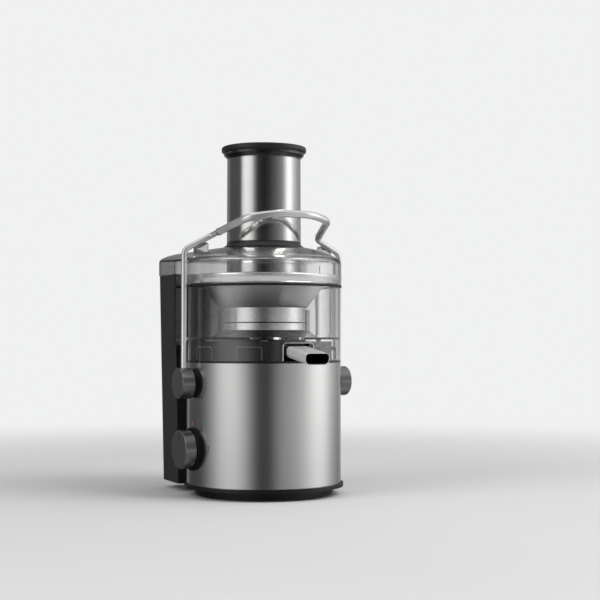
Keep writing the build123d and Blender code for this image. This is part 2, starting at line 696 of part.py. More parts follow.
def control_board():
    """The circuit board that stands on the bottom cover, with its parts."""
    width, thick, height = BOARD
    z0 = COVER_Z + COVER_T + SEAT
    y0 = BOARD_Y - thick / 2
    board = block(-width / 2, width / 2, y0, y0 + thick, z0, z0 + height)
    board += block(-22, -8, y0 - 12, y0, z0 + 20, z0 + 44)
    board += block(2, 16, y0 - 8, y0, z0 + 34, z0 + 52)
    board += Pos(10, y0, z0 + 20) * Rot(90, 0, 0) * Cylinder(6, 12, align=UP)
    return board


def gland_frame():
    """The cord gland's axis, pointing out of the base."""
    x, y = around(BODY_R - GLAND_IN, (GLAND_ANGLE,))[0]
    direction = (cos(radians(GLAND_ANGLE)), sin(radians(GLAND_ANGLE)), 0)
    return Plane(origin=(x, y, GLAND_Z), z_dir=direction)


def gland_hole():
    return gland_frame() * Cylinder(GLAND_R + FIT, 20, align=UP)


def cord_gland():
    """The rubber strain relief, a ribbed sleeve through the wrap."""
    frame = gland_frame()
    body = frame * Cylinder(GLAND_R, GLAND_IN + GLAND_OUT, align=UP)
    body += frame * Pos(0, 0, 0.5) * Cylinder(GLAND_R + 2, 2.5, align=UP)
    for index in range(3):
        groove = Cylinder(GLAND_R + 1, 1.2, align=UP) - Cylinder(GLAND_R - 1, 1.2, align=UP)
        body -= frame * Pos(0, 0, 7 + index * 2.2) * groove
    return body - frame * Cylinder(GLAND_BORE, GLAND_IN + GLAND_OUT, align=UP)


# ---- bowl, filter bowl and spout ----------------------------------------------------------
def bowl_outline(radius, half_width, back):
    """The bowl's plan: a circle with straight sides running back."""
    return Circle(radius) + Pos(0, back / 2) * Rectangle(2 * half_width, back)


def chute_pockets():
    """The hollow corners between the round wall and the straight sides."""
    plan = bowl_outline(BODY_R, CHUTE_X - BOWL_WALL, CHUTE_Y - BOWL_WALL) - Circle(BODY_R)
    return Pos(0, 0, CHUTE_Z + BOWL_WALL) * extrude(plan, BOWL_Z1 - CHUTE_Z)


def window():
    """The opening in the skirt that the spout passes through."""
    z0 = WRAP_Z1 + DECK_LIP_T
    tall = WINDOW_Z - z0
    frame = Plane(origin=(0, -BODY_R - 5, z0 + tall / 2), z_dir=(0, -1, 0), x_dir=(1, 0, 0))
    plan = Rectangle(WINDOW_W, tall)
    plan = fillet(plan.vertices().group_by(Axis.Y)[-1], WINDOW_CORNER)
    return extrude(frame * plan, -30)


def bowl():
    """The clear bowl: skirt, floor, round wall and straight rear corners."""
    z0 = WRAP_Z1 + DECK_LIP_T + SEAT
    floor_z = BOWL_FLOOR_Z - BOWL_FLOOR_T
    body = ring(BODY_R, BODY_R - BOWL_WALL, z0, BOWL_Z1)
    body += ring(BODY_R - 1, HUB_HOLE_R, floor_z, BOWL_FLOOR_Z)
    ears = bowl_outline(BODY_R, CHUTE_X, CHUTE_Y) - Circle(BODY_R - 1)
    body += Pos(0, 0, CHUTE_Z) * extrude(ears, BOWL_Z1 - CHUTE_Z)
    body -= chute_pockets()
    body -= window()
    width, depth = DRAIN
    return body - Pos(0, DRAIN_Y, floor_z) * Box(width, depth, BOWL_FLOOR_T, align=UP)


def hub_guard():
    """The clear ring round the basket's hub, which flares out to the bowl's floor."""
    z0 = BOWL_FLOOR_Z + SEAT
    return turned([
        (HUB_WALL_R - HUB_WALL_T, z0), (HUB_WALL_R + HUB_FLARE, z0),
        (HUB_WALL_R + HUB_FLARE, z0 + 1), (HUB_WALL_R, z0 + HUB_FLARE + 2),
        (HUB_WALL_R, HUB_WALL_Z), (HUB_WALL_R - HUB_WALL_T, HUB_WALL_Z),
    ])


def filter_bowl():
    """The clear inner wall round the basket, standing on the bowl's floor."""
    wall = ring(FILTER_R, FILTER_R - FILTER_WALL, BOWL_FLOOR_Z + SEAT, FILTER_Z)
    foot = ring(FILTER_R, FILTER_R - FILTER_WALL - 1, BOWL_FLOOR_Z + SEAT, BOWL_FLOOR_Z + 3)
    return wall + foot


def bowl_gasket():
    """The dark ring between the bowl and the lid."""
    seal = ring(BODY_R + GASKET_OUT, BODY_R - BOWL_WALL - GASKET_IN, BOWL_Z1, BOWL_Z1 + GASKET_T)
    return fillet(rims(seal, BODY_R + GASKET_OUT), 0.8)


def spout_section(width, height):
    """A flat-topped section with a rounded underside."""
    plan = Rectangle(width, height)
    plan = fillet(plan.vertices().group_by(Axis.Y)[0], height * SPOUT_FOOT_ROUND)
    return fillet(plan.vertices().group_by(Axis.Y)[-1], height * SPOUT_TOP_ROUND)


def spout():
    """The steel-look spout, sloping down from a riser under the bowl's drain."""
    length = (SPOUT_ROOT_Y - SPOUT_TIP_Y) / cos(radians(SPOUT_SLOPE))
    centre_z = SPOUT_TIP_Z + SPOUT_H / 2
    back = (0, cos(radians(SPOUT_SLOPE)), sin(radians(SPOUT_SLOPE)))
    frame = Plane(origin=(0, SPOUT_TIP_Y, centre_z), z_dir=back, x_dir=(-1, 0, 0))
    outer = extrude(frame * spout_section(SPOUT_W, SPOUT_H), length)
    inner = extrude(frame * spout_section(SPOUT_W - 2 * SPOUT_WALL, SPOUT_H - 2 * SPOUT_WALL), length - 2)
    width, depth = DRAIN
    top = BOWL_FLOOR_Z - BOWL_FLOOR_T - SEAT
    root_z = SPOUT_TIP_Z + SPOUT_H / 2
    riser = Pos(0, DRAIN_Y, root_z) * Box(width + 4, depth + 4, top - root_z, align=UP)
    well = Pos(0, DRAIN_Y, root_z + 4) * Box(width, depth, top - root_z - 4, align=UP)
    below = extrude(frame * Pos(0, -SPOUT_H) * Rectangle(2 * SPOUT_W, SPOUT_H), length + 20)
    return outer + (riser - below) - inner - (well - below)


# ---- basket -------------------------------------------------------------------------------
def drive_coupling():
    """The toothed coupling that turns the basket."""
    body = ring(COUPLING_R - 2, SHAFT_R + FIT / 2, COUPLING_Z, SHAFT_Z1 - 1)
    for index in range(COUPLING_TEETH):
        tooth = block(COUPLING_R - 3, COUPLING_R, -1.5, 1.5, COUPLING_Z, SHAFT_Z1 - 1)
        body += Rot(0, 0, index * 360 / COUPLING_TEETH) * tooth
    return body


def basket_hub():
    """The steel cup under the grater, with the socket for the coupling."""
    top = GRATER_Z - SEAT
    hub = ring(HUB_R, HUB_R - HUB_WALL, HUB_Z, top) + disc(HUB_R, top - 2, top)
    hub += disc(COUPLING_R + 4, HUB_Z, top)
    hub -= disc(COUPLING_R + FIT, HUB_Z, SHAFT_Z1 + 1)
    groove = ring(HUB_R + 1, HUB_R - HUB_GROOVE, HUB_GROOVE_Z - HUB_GROOVE, HUB_GROOVE_Z + HUB_GROOVE)
    return hub - groove


def grater_disc():
    """The toothed disc at the bottom of the basket."""
    disk = disc(GRATER_R, GRATER_Z, GRATER_Z + GRATER_T)
    top = GRATER_Z + GRATER_T
    for circle in (20.0, 32.0, 44.0):
        for index in range(GRATER_TEETH):
            angle = (index + circle / 24) * 360 / GRATER_TEETH
            tooth = Pos(circle, 0, top) * Box(3, 1.2, 2.4, align=UP)
            disk += Rot(0, 0, angle) * tooth
    return disk + disc(6, top, top + 3)


def sieve_mesh():
    """The thin cone that holds the pulp back."""
    z0 = GRATER_Z + FIT
    r0 = GRATER_R + FIT
    lean = SIEVE_T / cos(radians(SIEVE_LEAN))
    return turned([
        (r0, z0), (r0 + SIEVE_T, z0), (SIEVE_R + lean, SIEVE_Z), (SIEVE_R, SIEVE_Z),
        (r0, z0 + 2),
    ])


def sieve_rim():
    """The rolled rim on top of the sieve."""
    rim = ring(RIM_R, SIEVE_R - 0.5, SIEVE_Z + SEAT, SIEVE_Z + RIM_H)
    return fillet(rims(rim, RIM_R), 0.8)


# ---- lid and pusher -----------------------------------------------------------------------
def dome_half(inset, foot):
    """Half of the lid's cross-section: a wall, a rounded shoulder and a shallow dome."""
    edge = LID_R - inset
    shoulder = (edge, LID_SHOULDER_Z - inset)
    crown = (DOME_TOP[0], DOME_TOP[1] - inset)
    dome = ThreePointArc(shoulder, (DOME_MID[0], DOME_MID[1] - inset), crown)
    rest = Polyline(crown, (0, crown[1]), (0, foot), (edge, foot), shoulder)
    plan = make_face([*dome.edges(), *rest.edges()])
    corner = plan.vertices().sort_by_distance(Vector(*shoulder))[0]
    return fillet(corner, LID_SHOULDER_R - inset)


def lid_dome(inset):
    """The lid's round part, moved in by an inset, as a solid of revolution."""
    return revolve(Plane.XZ * dome_half(inset, LID_FOOT_Z), Axis.Z)


def rear_plan(inset):
    """The plan of the lid's rear part, which matches the container."""
    wide, narrow, back = CHUTE_X - inset, BIN_X_BACK + 1 - inset, BIN_BACK - inset
    outline = Polyline((-wide, REAR_START), (-wide, CHUTE_Y), (-narrow, back), (narrow, back),
                       (wide, CHUTE_Y), (wide, REAR_START), (-wide, REAR_START))
    plan = make_face(outline)
    return fillet(plan.vertices().group_by(Axis.Y)[-1], BIN_CORNER - inset)


def rear_block(inset, foot):
    """The rear part's outer or inner form: the lid's section carried straight back."""
    half = extrude(Plane.XZ * dome_half(inset, foot), -(BIN_BACK + 1))
    plan = Pos(0, 0, foot) * extrude(rear_plan(inset), DOME_TOP[1] - foot + 1)
    return (half + mirrored(half)) & plan


def rear_cover():
    """The rear part over the container, deeper in front of it."""
    rim_z = BIN_TOP_Z + SLIDE
    cover = rear_block(0, rim_z)
    behind = [e for e in cover.edges() if e.bounding_box().max.Y > CHUTE_Y + BIN_CORNER]
    cover = fillet([e for e in behind if e.bounding_box().min.Z > rim_z + 1], REAR_EDGE_R)
    return cover + block(-CHUTE_X, CHUTE_X, REAR_START, CHUTE_Y, LID_FOOT_Z, rim_z)


def rear_hollow():
    """The pulp's way from the basket to the container."""
    sill = block(-CHUTE_X, CHUTE_X, CHUTE_Y - LID_WALL, BIN_BACK, LID_FOOT_Z, BIN_TOP_Z)
    return rear_block(LID_WALL, LID_FOOT_Z) - sill


def feed_tube():
    """The feed tube with its flared rim, which runs on down inside the lid."""
    root = TUBE_R + TUBE_DRAFT
    return turned([
        (root, CHUTE_FOOT_Z), (root, TUBE_FOOT_Z), (TUBE_R, TUBE_Z1),
        (TUBE_RIM_R, RIM_TOP_Z - RIM_LIP), (TUBE_RIM_R, RIM_TOP_Z), (TUBE_RIM_R - RIM_LIP, RIM_TOP_Z),
        (CHUTE_BORE, TUBE_Z1 + 1), (CHUTE_BORE, CHUTE_FOOT_Z),
    ])


def lid():
    """The clear lid: wall, dome, rear cover and feed tube in one moulding."""
    body = lid_dome(0) + rear_cover()
    ledge = ring(LID_R + LEDGE, LID_R - 1, LEDGE_Z - LEDGE_H, LEDGE_Z)
    body += ledge - block(-LIP_R, LIP_R, REAR_START, LIP_R, LEDGE_Z - LEDGE_H, LEDGE_Z)
    body -= lid_dome(LID_WALL)
    body -= rear_hollow()
    body -= disc(CHUTE_BORE + 1, LID_SHOULDER_Z, DOME_TOP[1])
    return body + feed_tube()


def latch_pads():
    """Ridges on the dome that the handle's ends press on."""
    slope = (LEG_TURN[2] - LEG_TOP[2]) / (LEG_TOP[0] - LEG_TURN[0])
    drop = (LEG_R + SLIDE + FIT) * sqrt(1 + slope * slope)
    tops = [(x, LEG_TOP[2] + (LEG_TOP[0] - x) * slope - drop) for x in (PAD_X0, PAD_X1)]
    outline = Polyline((PAD_X0, 0, PAD_FOOT_Z), (PAD_X1, 0, PAD_FOOT_Z), (PAD_X1, 0, tops[1][1]),
                       (PAD_X0, 0, tops[0][1]), (PAD_X0, 0, PAD_FOOT_Z))
    pad = extrude(make_face(outline), PAD_W / 2, both=True)
    pad = fillet(pad.edges().filter_by(Axis.Z), PAD_SIDE_R)
    pad = fillet(pad.faces().sort_by(Axis.Z)[-1].edges(), PAD_TOP_R)
    pad -= lid_dome(-FIT / 2)
    return together([pad, mirrored(pad)])


def pusher_sleeve():
    """The polished steel cup of the pusher."""
    top = RIM_TOP_Z + SLIDE
    cup = disc(PUSHER_R, PUSHER_FOOT_Z, top)
    cup = fillet(cup.edges().group_by(Axis.Z)[0], 3)
    return cup - disc(PUSHER_R - PUSHER_WALL, PUSHER_FOOT_Z + 2, top)


def pusher_cap():
    """The black cap with its rounded edge and the plug that holds the sleeve."""
    z0 = RIM_TOP_Z + SLIDE
    cap = disc(CAP_R, z0 + SEAT, CAP_Z1)
    cap = fillet(cap.edges().group_by(Axis.Z)[0], CAP_EDGE)
    cap = fillet(cap.edges().group_by(Axis.Z)[-1], CAP_EDGE)
    return cap + disc(PUSHER_R - PUSHER_WALL - FIT, z0 - 8, z0 + 1)


# ---- handle -------------------------------------------------------------------------------
def along(start, end, share):
    """The point at a share of the way between two points."""
    return tuple(a + (b - a) * share for a, b in zip(start, end))


def flipped(point):
    return (-point[0], point[1], point[2])


def handle_leg(side):
    """A steel leg: up from the pivot, in over the lid, to the grip."""
    foot = (LEG_X, 0.0, PIVOT_Z)
    end = along(LEG_TURN, BOW_CORNER, GRIP_START)
    leg = rod(LEG_R, [foot, LEG_TOP, LEG_TURN, end], HANDLE_RADII[:2])
    return leg if side > 0 else mirrored(leg)


def handle_grip():
    """The thicker bar that bows forward in front of the feed tube."""
    start = along(LEG_TURN, BOW_CORNER, GRIP_START)
    half = [start, BOW_CORNER, BOW_FRONT]
    points = half + [flipped(p) for p in reversed(half)]
    bow = HANDLE_RADII[2:]
    return rod(GRIP_R, points, bow + tuple(reversed(bow)))


# ---- pulp container -----------------------------------------------------------------------
def bin_plan(share, inset):
    """The container's plan, from 0 at the bottom to 1 at the rim."""
    wide = BIN_X - BIN_DRAFT * (1 - share) - inset
    narrow = BIN_X_BACK - BIN_DRAFT * (1 - share) - inset
    back = BIN_BACK - BIN_BACK_DRAFT * (1 - share) - inset
    front = BIN_FRONT + inset
    outline = Polyline((-wide, front), (-narrow, back), (narrow, back), (wide, front), (-wide, front))
    plan = make_face(outline)
    plan = fillet(plan.vertices().group_by(Axis.Y)[-1], BIN_CORNER - inset)
    return plan - Circle(BIN_ARC_R + inset)


def bin_block(z0, z1, inset):
    """The container's drafted block between two heights."""
    tall = BIN_TOP_Z - BIN_SKIRT_Z
    low = Pos(0, 0, z0) * bin_plan((z0 - BIN_SKIRT_Z) / tall, inset)
    high = Pos(0, 0, z1) * bin_plan((z1 - BIN_SKIRT_Z) / tall, inset)
    return loft([low.face(), high.face()], ruled=True)


def pulp_container():
    """The dark pulp container, with a hollow foot that clears the base's tongue."""
    body = bin_block(BIN_SKIRT_Z, BIN_TOP_Z, 0)
    body -= bin_block(BIN_FLOOR_Z + BIN_WALL, BIN_TOP_Z, BIN_WALL)
    body -= bin_block(BIN_SKIRT_Z, BIN_FLOOR_Z, BIN_WALL)
    half = TONGUE_X + SLIDE + 2
    return body - block(-half, half, 0, TONGUE_BACK, BIN_SKIRT_Z, BIN_FLOOR_Z)


PARTS = {
    "rubber_feet": rubber_feet,
    "bottom_cover": bottom_cover,
    "bottom_screws": bottom_screws,
    "base_skirt": base_skirt,
    "steel_wrap": steel_wrap,
    "rear_panel": rear_panel,
    "deck": deck,
    "shaft_seal": shaft_seal,
    "lower_bracket": lower_bracket,
    "upper_bracket": upper_bracket,
    "lower_bearing": lower_bearing,
    "upper_bearing": upper_bearing,
    "motor_mount_bushes": motor_mount_bushes,
    "motor_screws": motor_screws,
    "stator_core": stator_core,
    "stator_coils": stator_coils,
    "brush_holders": brush_holders,
    "carbon_brushes": carbon_brushes,
    "rotor_shaft": rotor_shaft,
    "armature_core": armature_core,
    "armature_windings": armature_windings,
    "commutator": commutator,
    "cooling_fan": cooling_fan,
    "drive_coupling": drive_coupling,
    "basket_hub": basket_hub,
    "grater_disc": grater_disc,
    "sieve_mesh": sieve_mesh,
    "sieve_rim": sieve_rim,
    "pivot_bush_left": lambda: pivot_bush(-1),
    "pivot_bush_right": lambda: pivot_bush(1),
    "pivot_pin_left": lambda: pivot_pin(-1),
    "pivot_pin_right": lambda: pivot_pin(1),
    "pivot_knob_left": lambda: pivot_knob(-1),
    "pivot_knob_right": lambda: pivot_knob(1),
    "handle_leg_left": lambda: handle_leg(-1),
    "handle_leg_right": lambda: handle_leg(1),
    "handle_grip": handle_grip,
    "interlock_plunger": interlock_plunger,
    "interlock_switch": interlock_switch,
    "dial_bezel": dial_bezel,
    "speed_dial": speed_dial,
    "dial_shaft": dial_shaft,
    "rotary_switch": rotary_switch,
    "control_board": control_board,
    "cord_gland": cord_gland,
    "bowl": bowl,
    "filter_bowl": filter_bowl,
    "hub_guard": hub_guard,
    "bowl_gasket": bowl_gasket,
    "spout": spout,
    "lid": lid,
    "latch_pads": latch_pads,
    "pusher_cap": pusher_cap,
    "pusher_sleeve": pusher_sleeve,
    "pulp_container": pulp_container,
}


def main():
    """Builds every sub-part and writes it to parts/."""
    os.makedirs("parts", exist_ok=True)
    for name, make in PARTS.items():
        shape = make()
        export_step(shape, f"parts/{name}.step")
        print(f"{name}: {len(shape.solids())} solids, {shape.volume / 1000:.2f} cm3", flush=True)


main()
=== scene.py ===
# %% [markdown]
# A centrifugal juicer in brushed steel, black plastic and clear plastic. The construction comes from the
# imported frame, in metres, with +Z up and the spout along -Y. This file gives every part its finish, and
# adds the small things that are printed, pressed or moulded on them.

# %% Load the frame
import math
import bmesh
import bpy
from mathutils import Matrix, Vector


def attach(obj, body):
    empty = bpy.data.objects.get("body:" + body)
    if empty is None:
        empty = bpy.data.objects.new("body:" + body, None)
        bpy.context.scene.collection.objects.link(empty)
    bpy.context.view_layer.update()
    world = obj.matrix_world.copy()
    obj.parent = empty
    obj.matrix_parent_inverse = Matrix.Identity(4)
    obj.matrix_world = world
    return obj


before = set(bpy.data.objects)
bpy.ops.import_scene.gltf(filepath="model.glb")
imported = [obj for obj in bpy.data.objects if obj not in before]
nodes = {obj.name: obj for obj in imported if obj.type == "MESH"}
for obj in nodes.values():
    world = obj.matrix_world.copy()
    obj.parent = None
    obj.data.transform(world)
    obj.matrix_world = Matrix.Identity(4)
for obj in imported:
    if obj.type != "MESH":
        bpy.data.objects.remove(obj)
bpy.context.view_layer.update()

# %% [markdown]
# The camera stands level with the bowl, about 1.7 m away and 26 degrees round to the left of the front,
# with a long lens. It looks a little to the right of the machine's axis and a little upwards.

# %% The camera
CAMERA_AZIMUTH = math.radians(-26)
CAMERA_DISTANCE = 1.674
CAMERA_HEIGHT = 0.192
LENS = 81.2
FOCAL_PIXELS = LENS / 36 * 600
AIM_RIGHT = 36.2
AIM_UP = 37.4

ahead = Vector((-math.sin(CAMERA_AZIMUTH), math.cos(CAMERA_AZIMUTH), 0))
right = Vector((ahead.y, -ahead.x, 0))
lens = bpy.data.cameras.new("camera")
lens.lens = LENS
camera = bpy.data.objects.new("camera", lens)
camera.location = -CAMERA_DISTANCE * ahead + Vector((0, 0, CAMERA_HEIGHT))
aim = FOCAL_PIXELS * ahead + AIM_RIGHT * right + AIM_UP * Vector((0, 0, 1))
camera.rotation_euler = aim.to_track_quat("-Z", "Y").to_euler()
bpy.context.scene.collection.objects.link(camera)
bpy.context.scene.camera = camera
bpy.context.scene.view_settings.view_transform = "Standard"
print("camera at", tuple(round(v, 3) for v in camera.location))

# %% [markdown]
# Shader maths reads best as plain formulas. A small class wraps a node's output socket, and the usual
# operators then add Math nodes. Numbers that don't vary are worked out in Python instead.


# %% A class for shader formulas
class Value:
    """One number in a shader, as an output socket with operators."""

    def __init__(self, tree, socket):
        self.tree = tree
        self.socket = socket

    def math(self, operation, *others):
        node = self.tree.nodes.new("ShaderNodeMath")
        node.operation = operation
        for slot, value in enumerate((self, *others)):
            if isinstance(value, Value):
                self.tree.links.new(value.socket, node.inputs[slot])
            else:
                node.inputs[slot].default_value = value
        return Value(self.tree, node.outputs[0])

    def __add__(self, other):
        return self.math("ADD", other)

    def __mul__(self, other):
        return self.math("MULTIPLY", other)

    def __sub__(self, other):
        return self.math("SUBTRACT", other)

    def __rsub__(self, other):
        return (self * -1) + other

    def __truediv__(self, other):
        return self.math("DIVIDE", other)

    def clamp(self):
        return self.math("MINIMUM", 1.0).math("MAXIMUM", 0.0)

    __radd__ = __add__
    __rmul__ = __mul__


class Finish:
    """A material with its own node tree."""

    def __init__(self, name):
        self.material = bpy.data.materials.new(name)
        self.material.use_nodes = True
        self.tree = self.material.node_tree
        self.tree.nodes.clear()
        self.output = self.tree.nodes.new("ShaderNodeOutputMaterial")

    def node(self, kind, settings=None, **inputs):
        """A node with its settings and its sockets' values or links. The name i0 means the first socket."""
        node = self.tree.nodes.new(kind)
        for name, value in (settings or {}).items():
            setattr(node, name, value)
        for name, value in inputs.items():
            numbered = name[0] == "i" and name[1:].isdigit()
            self.feed(node.inputs[int(name[1:]) if numbered else name], value)
        return node

    def feed(self, socket, value):
        if isinstance(value, Value):
            value = value.socket
        if isinstance(value, bpy.types.NodeSocket):
            self.tree.links.new(value, socket)
        else:
            socket.default_value = value

    def coordinates(self, scale=(1, 1, 1)):
        """Object coordinates, stretched by a scale."""
        place = self.node("ShaderNodeTexCoord").outputs["Object"]
        return self.node("ShaderNodeMapping", Vector=place, Scale=scale).outputs[0]

    def noise(self, scale, detail=2.0, stretch=(1, 1, 1)):
        node = self.node("ShaderNodeTexNoise", Vector=self.coordinates(stretch), Scale=scale, Detail=detail)
        return Value(self.tree, node.outputs["Fac"])

    def ramp(self, factor, stops):
        """A colour ramp with (position, colour) stops."""
        node = self.tree.nodes.new("ShaderNodeValToRGB")
        band = node.color_ramp
        while len(band.elements) < len(stops):
            band.elements.new(0.5)
        for element, (position, colour) in zip(band.elements, stops):
            element.position = position
            element.color = (*colour, 1)
        self.feed(node.inputs[0], factor)
        return node.outputs[0]

    def bump(self, height, strength, distance):
        node = self.node("ShaderNodeBump", Height=height, Strength=strength, Distance=distance)
        return node.outputs[0]

    def surface(self, **sockets):
        """The main shader, with its sockets named with underscores."""
        shader = self.tree.nodes.new("ShaderNodeBsdfPrincipled")
        for name, value in sockets.items():
            self.feed(shader.inputs[name.replace("_", " ")], value)
        return shader.outputs[0]

    def show(self, shader):
        self.feed(self.output.inputs["Surface"], shader)
        return self.material


# %% [markdown]
# Brushed steel owes its look to fine parallel scratches. Round the casing they run level, so they spread
# a reflection up and down and keep it narrow sideways. A noise that is long round the wall and very
# short in height draws them, and drives a faint bump, the roughness and the colour.


# %% Metal finishes
def brushed_steel(name, stretch, base, rough):
    steel = Finish(name)
    streaks = steel.noise(1.0, 4.0, stretch)
    cloud = steel.noise(9.0, 2.0)
    colour = steel.ramp(streaks, [(0.3, [v * 0.93 for v in base]), (0.7, base)])
    normal = steel.bump(streaks, 0.05, 0.0002)
    shader = steel.surface(Base_Color=colour, Metallic=1.0, Normal=normal,
                           Roughness=(streaks - 0.5) * 0.12 + (cloud - 0.5) * 0.06 + rough)
    return steel.show(shader)


def polished_steel(name, base, rough, metallic=1.0):
    steel = Finish(name)
    cloud = steel.noise(30.0, 3.0)
    fine = steel.noise(900.0, 2.0)
    colour = steel.ramp(cloud, [(0.3, [v * 0.96 for v in base]), (0.7, base)])
    shader = steel.surface(Base_Color=colour, Metallic=metallic, Roughness=(cloud - 0.5) * 0.05 + rough,
                           Normal=steel.bump(fine, 0.02, 0.0001))
    return steel.show(shader)


# %% [markdown]
# A knob is turned on a lathe. Its side is coloured darker than its flat face, as painted shade. The surface's
# own direction tells them apart: where it points along the pivot's axis it is the face.


# %% Steel for the knobs
def knob_with_side_shade():
    """Brushed steel, with painted shade making the knob's side darker than its flat face."""
    steel = Finish("knob_steel")
    streaks = steel.noise(1.0, 4.0, (900, 60, 60))
    way = steel.node("ShaderNodeTexCoord").outputs["Normal"]
    along_x = Value(steel.tree, steel.node("ShaderNodeSeparateXYZ", Vector=way).outputs[0])
    flat = ((along_x.math("ABSOLUTE") - 0.8) * 8).clamp()
    level = flat * 0.7 + streaks * 0.3
    colour = steel.ramp(level, [(0.0, (0.27, 0.262, 0.255)), (1.0, (0.55, 0.54, 0.533))])
    shader = steel.surface(Base_Color=colour, Metallic=1.0, Normal=steel.bump(streaks, 0.05, 0.0002),
                           Roughness=(streaks - 0.5) * 0.12 + 0.32)
    return steel.show(shader)


# %% The steels
STEEL = (0.66, 0.658, 0.653)
POLISHED = (0.80, 0.795, 0.78)
wrap_steel = brushed_steel("wrap_steel", (4, 4, 2600), STEEL, 0.22)
knob_steel = knob_with_side_shade()
bright_steel = polished_steel("bright_steel", POLISHED, 0.10)
sieve_steel = brushed_steel("sieve_steel", (420, 420, 16), (0.78, 0.775, 0.77), 0.30)
handle_steel = polished_steel("handle_steel", (0.95, 0.948, 0.94), 0.16, 0.72)
shaft_steel = brushed_steel("shaft_steel", (60, 60, 900), (0.55, 0.55, 0.56), 0.3)

# %% [markdown]
# The moulded blacks differ in gloss. Satin plastic has a fine spark-eroded grain, rubber is duller and
# has a little dust in its grain, and the clear parts are polished polycarbonate with a smoky tint.


# %% Plastics and rubber
def moulded(name, base, rough, grain=1400.0, strength=0.12, gloss=0.5):
    plastic = Finish(name)
    fine = plastic.noise(grain, 3.0)
    cloud = plastic.noise(14.0, 3.0)
    colour = plastic.ramp(cloud, [(0.3, [v * 0.86 for v in base]), (0.7, [v * 1.1 for v in base])])
    shader = plastic.surface(Base_Color=colour, Roughness=(fine - 0.5) * 0.16 + (cloud - 0.5) * 0.08 + rough,
                             Normal=plastic.bump(fine, strength, 0.0002), Specular_IOR_Level=gloss)
    return plastic.show(shader)


# %% [markdown]
# Little light gets between the container and the machine. The container's front faces are made blacker
# and duller than the rest, by the direction that they point in.


# %% Plastic for the container
def shaded_container():
    """Dark satin plastic, blacker and duller on the faces turned towards the machine."""
    plastic = Finish("container_plastic")
    way = plastic.node("ShaderNodeTexCoord").outputs["Normal"]
    forward = Value(plastic.tree, plastic.node("ShaderNodeSeparateXYZ", Vector=way).outputs[1]) * -1
    inner = ((forward - 0.15) * 5).clamp()
    fine = plastic.noise(1400.0, 3.0)
    cloud = plastic.noise(14.0, 3.0)
    level = (cloud - 0.5) * 0.4 + inner * -1 + 0.8
    colour = plastic.ramp(level, [(0.0, (0.003, 0.003, 0.003)), (1.0, (0.032, 0.031, 0.030))])
    return plastic.show(plastic.surface(Base_Color=colour, Normal=plastic.bump(fine, 0.12, 0.0002),
                                        Roughness=(fine - 0.5) * 0.16 + inner * 0.3 + 0.42))


# %% [markdown]
# Clear plastic passes light, bends it and darkens where it is seen edge on. Its colour is also made darker
# over the container, on the dome and at the feed tube's rim. Lamps shine straight through it, so that the
# parts inside stay lit.

# %% Clear plastic
DOME_Z = 0.2885         # metres, as all places in a shader are
TUBE_RIM_Z = 0.411
TUBE_OUTSIDE_R = 0.047
REAR_Y = 0.052
REAR_SMOKE = 0.5
DOME_SMOKE = 0.34
RIM_SMOKE = 0.7


def clear_plastic(name, tint, smoke, rough, index):
    """Clear plastic, darker where it is seen edge on, over the container, on the dome and at the tube's rim.
    """
    clear = Finish(name)
    scuffs = clear.noise(25.0, 4.0)
    edge_on = Value(clear.tree, clear.node("ShaderNodeLayerWeight", Blend=0.5).outputs["Facing"])
    place = clear.node("ShaderNodeSeparateXYZ", Vector=clear.coordinates())
    x, y, z = (Value(clear.tree, place.outputs[axis]) for axis in range(3))
    over_container = ((y - REAR_Y) * 80).clamp()
    outside_tube = (x * x + y * y).math("GREATER_THAN", TUBE_OUTSIDE_R ** 2)
    on_dome = ((z - DOME_Z) * 300).clamp() * outside_tube
    on_rim = ((z - TUBE_RIM_Z) * 300).clamp()
    tinted_darker = over_container * REAR_SMOKE + on_dome * DOME_SMOKE + on_rim * RIM_SMOKE
    level = (edge_on * edge_on * edge_on * smoke + tinted_darker).clamp()
    colour = clear.ramp(level, [(0.0, tint), (1.0, [0.12 * v for v in tint])])
    body = clear.surface(Base_Color=colour, Roughness=(scuffs - 0.4) * 0.03 + rough, IOR=index,
                         Transmission_Weight=1.0)
    through = clear.node("ShaderNodeBsdfTransparent", Color=(*[v ** 0.5 for v in tint], 1)).outputs[0]
    ray = clear.node("ShaderNodeLightPath")
    lamps = Value(clear.tree, ray.outputs["Is Shadow Ray"])
    mix = clear.node("ShaderNodeMixShader", i0=lamps, i1=body, i2=through)
    return clear.show(mix.outputs[0])


# %% [markdown]
# The spout is satin steel outside. Its channel, and the part that runs behind the skirt, are coloured near
# black as painted shade. The distance from a rounded box along the spout's run tells inside from outside, so
# the painted shade in the mouth has the channel's own corners.

# %% Steel for the spout
SPOUT_LEAN = math.radians(8.6)
SPOUT_MOUTH = (-0.140, 0.16725)
CHANNEL_HALF = (0.01515, 0.00635)
CHANNEL_CORNERS = (0.0059, 0.0042)
BEHIND_SKIRT_Y = -0.0935


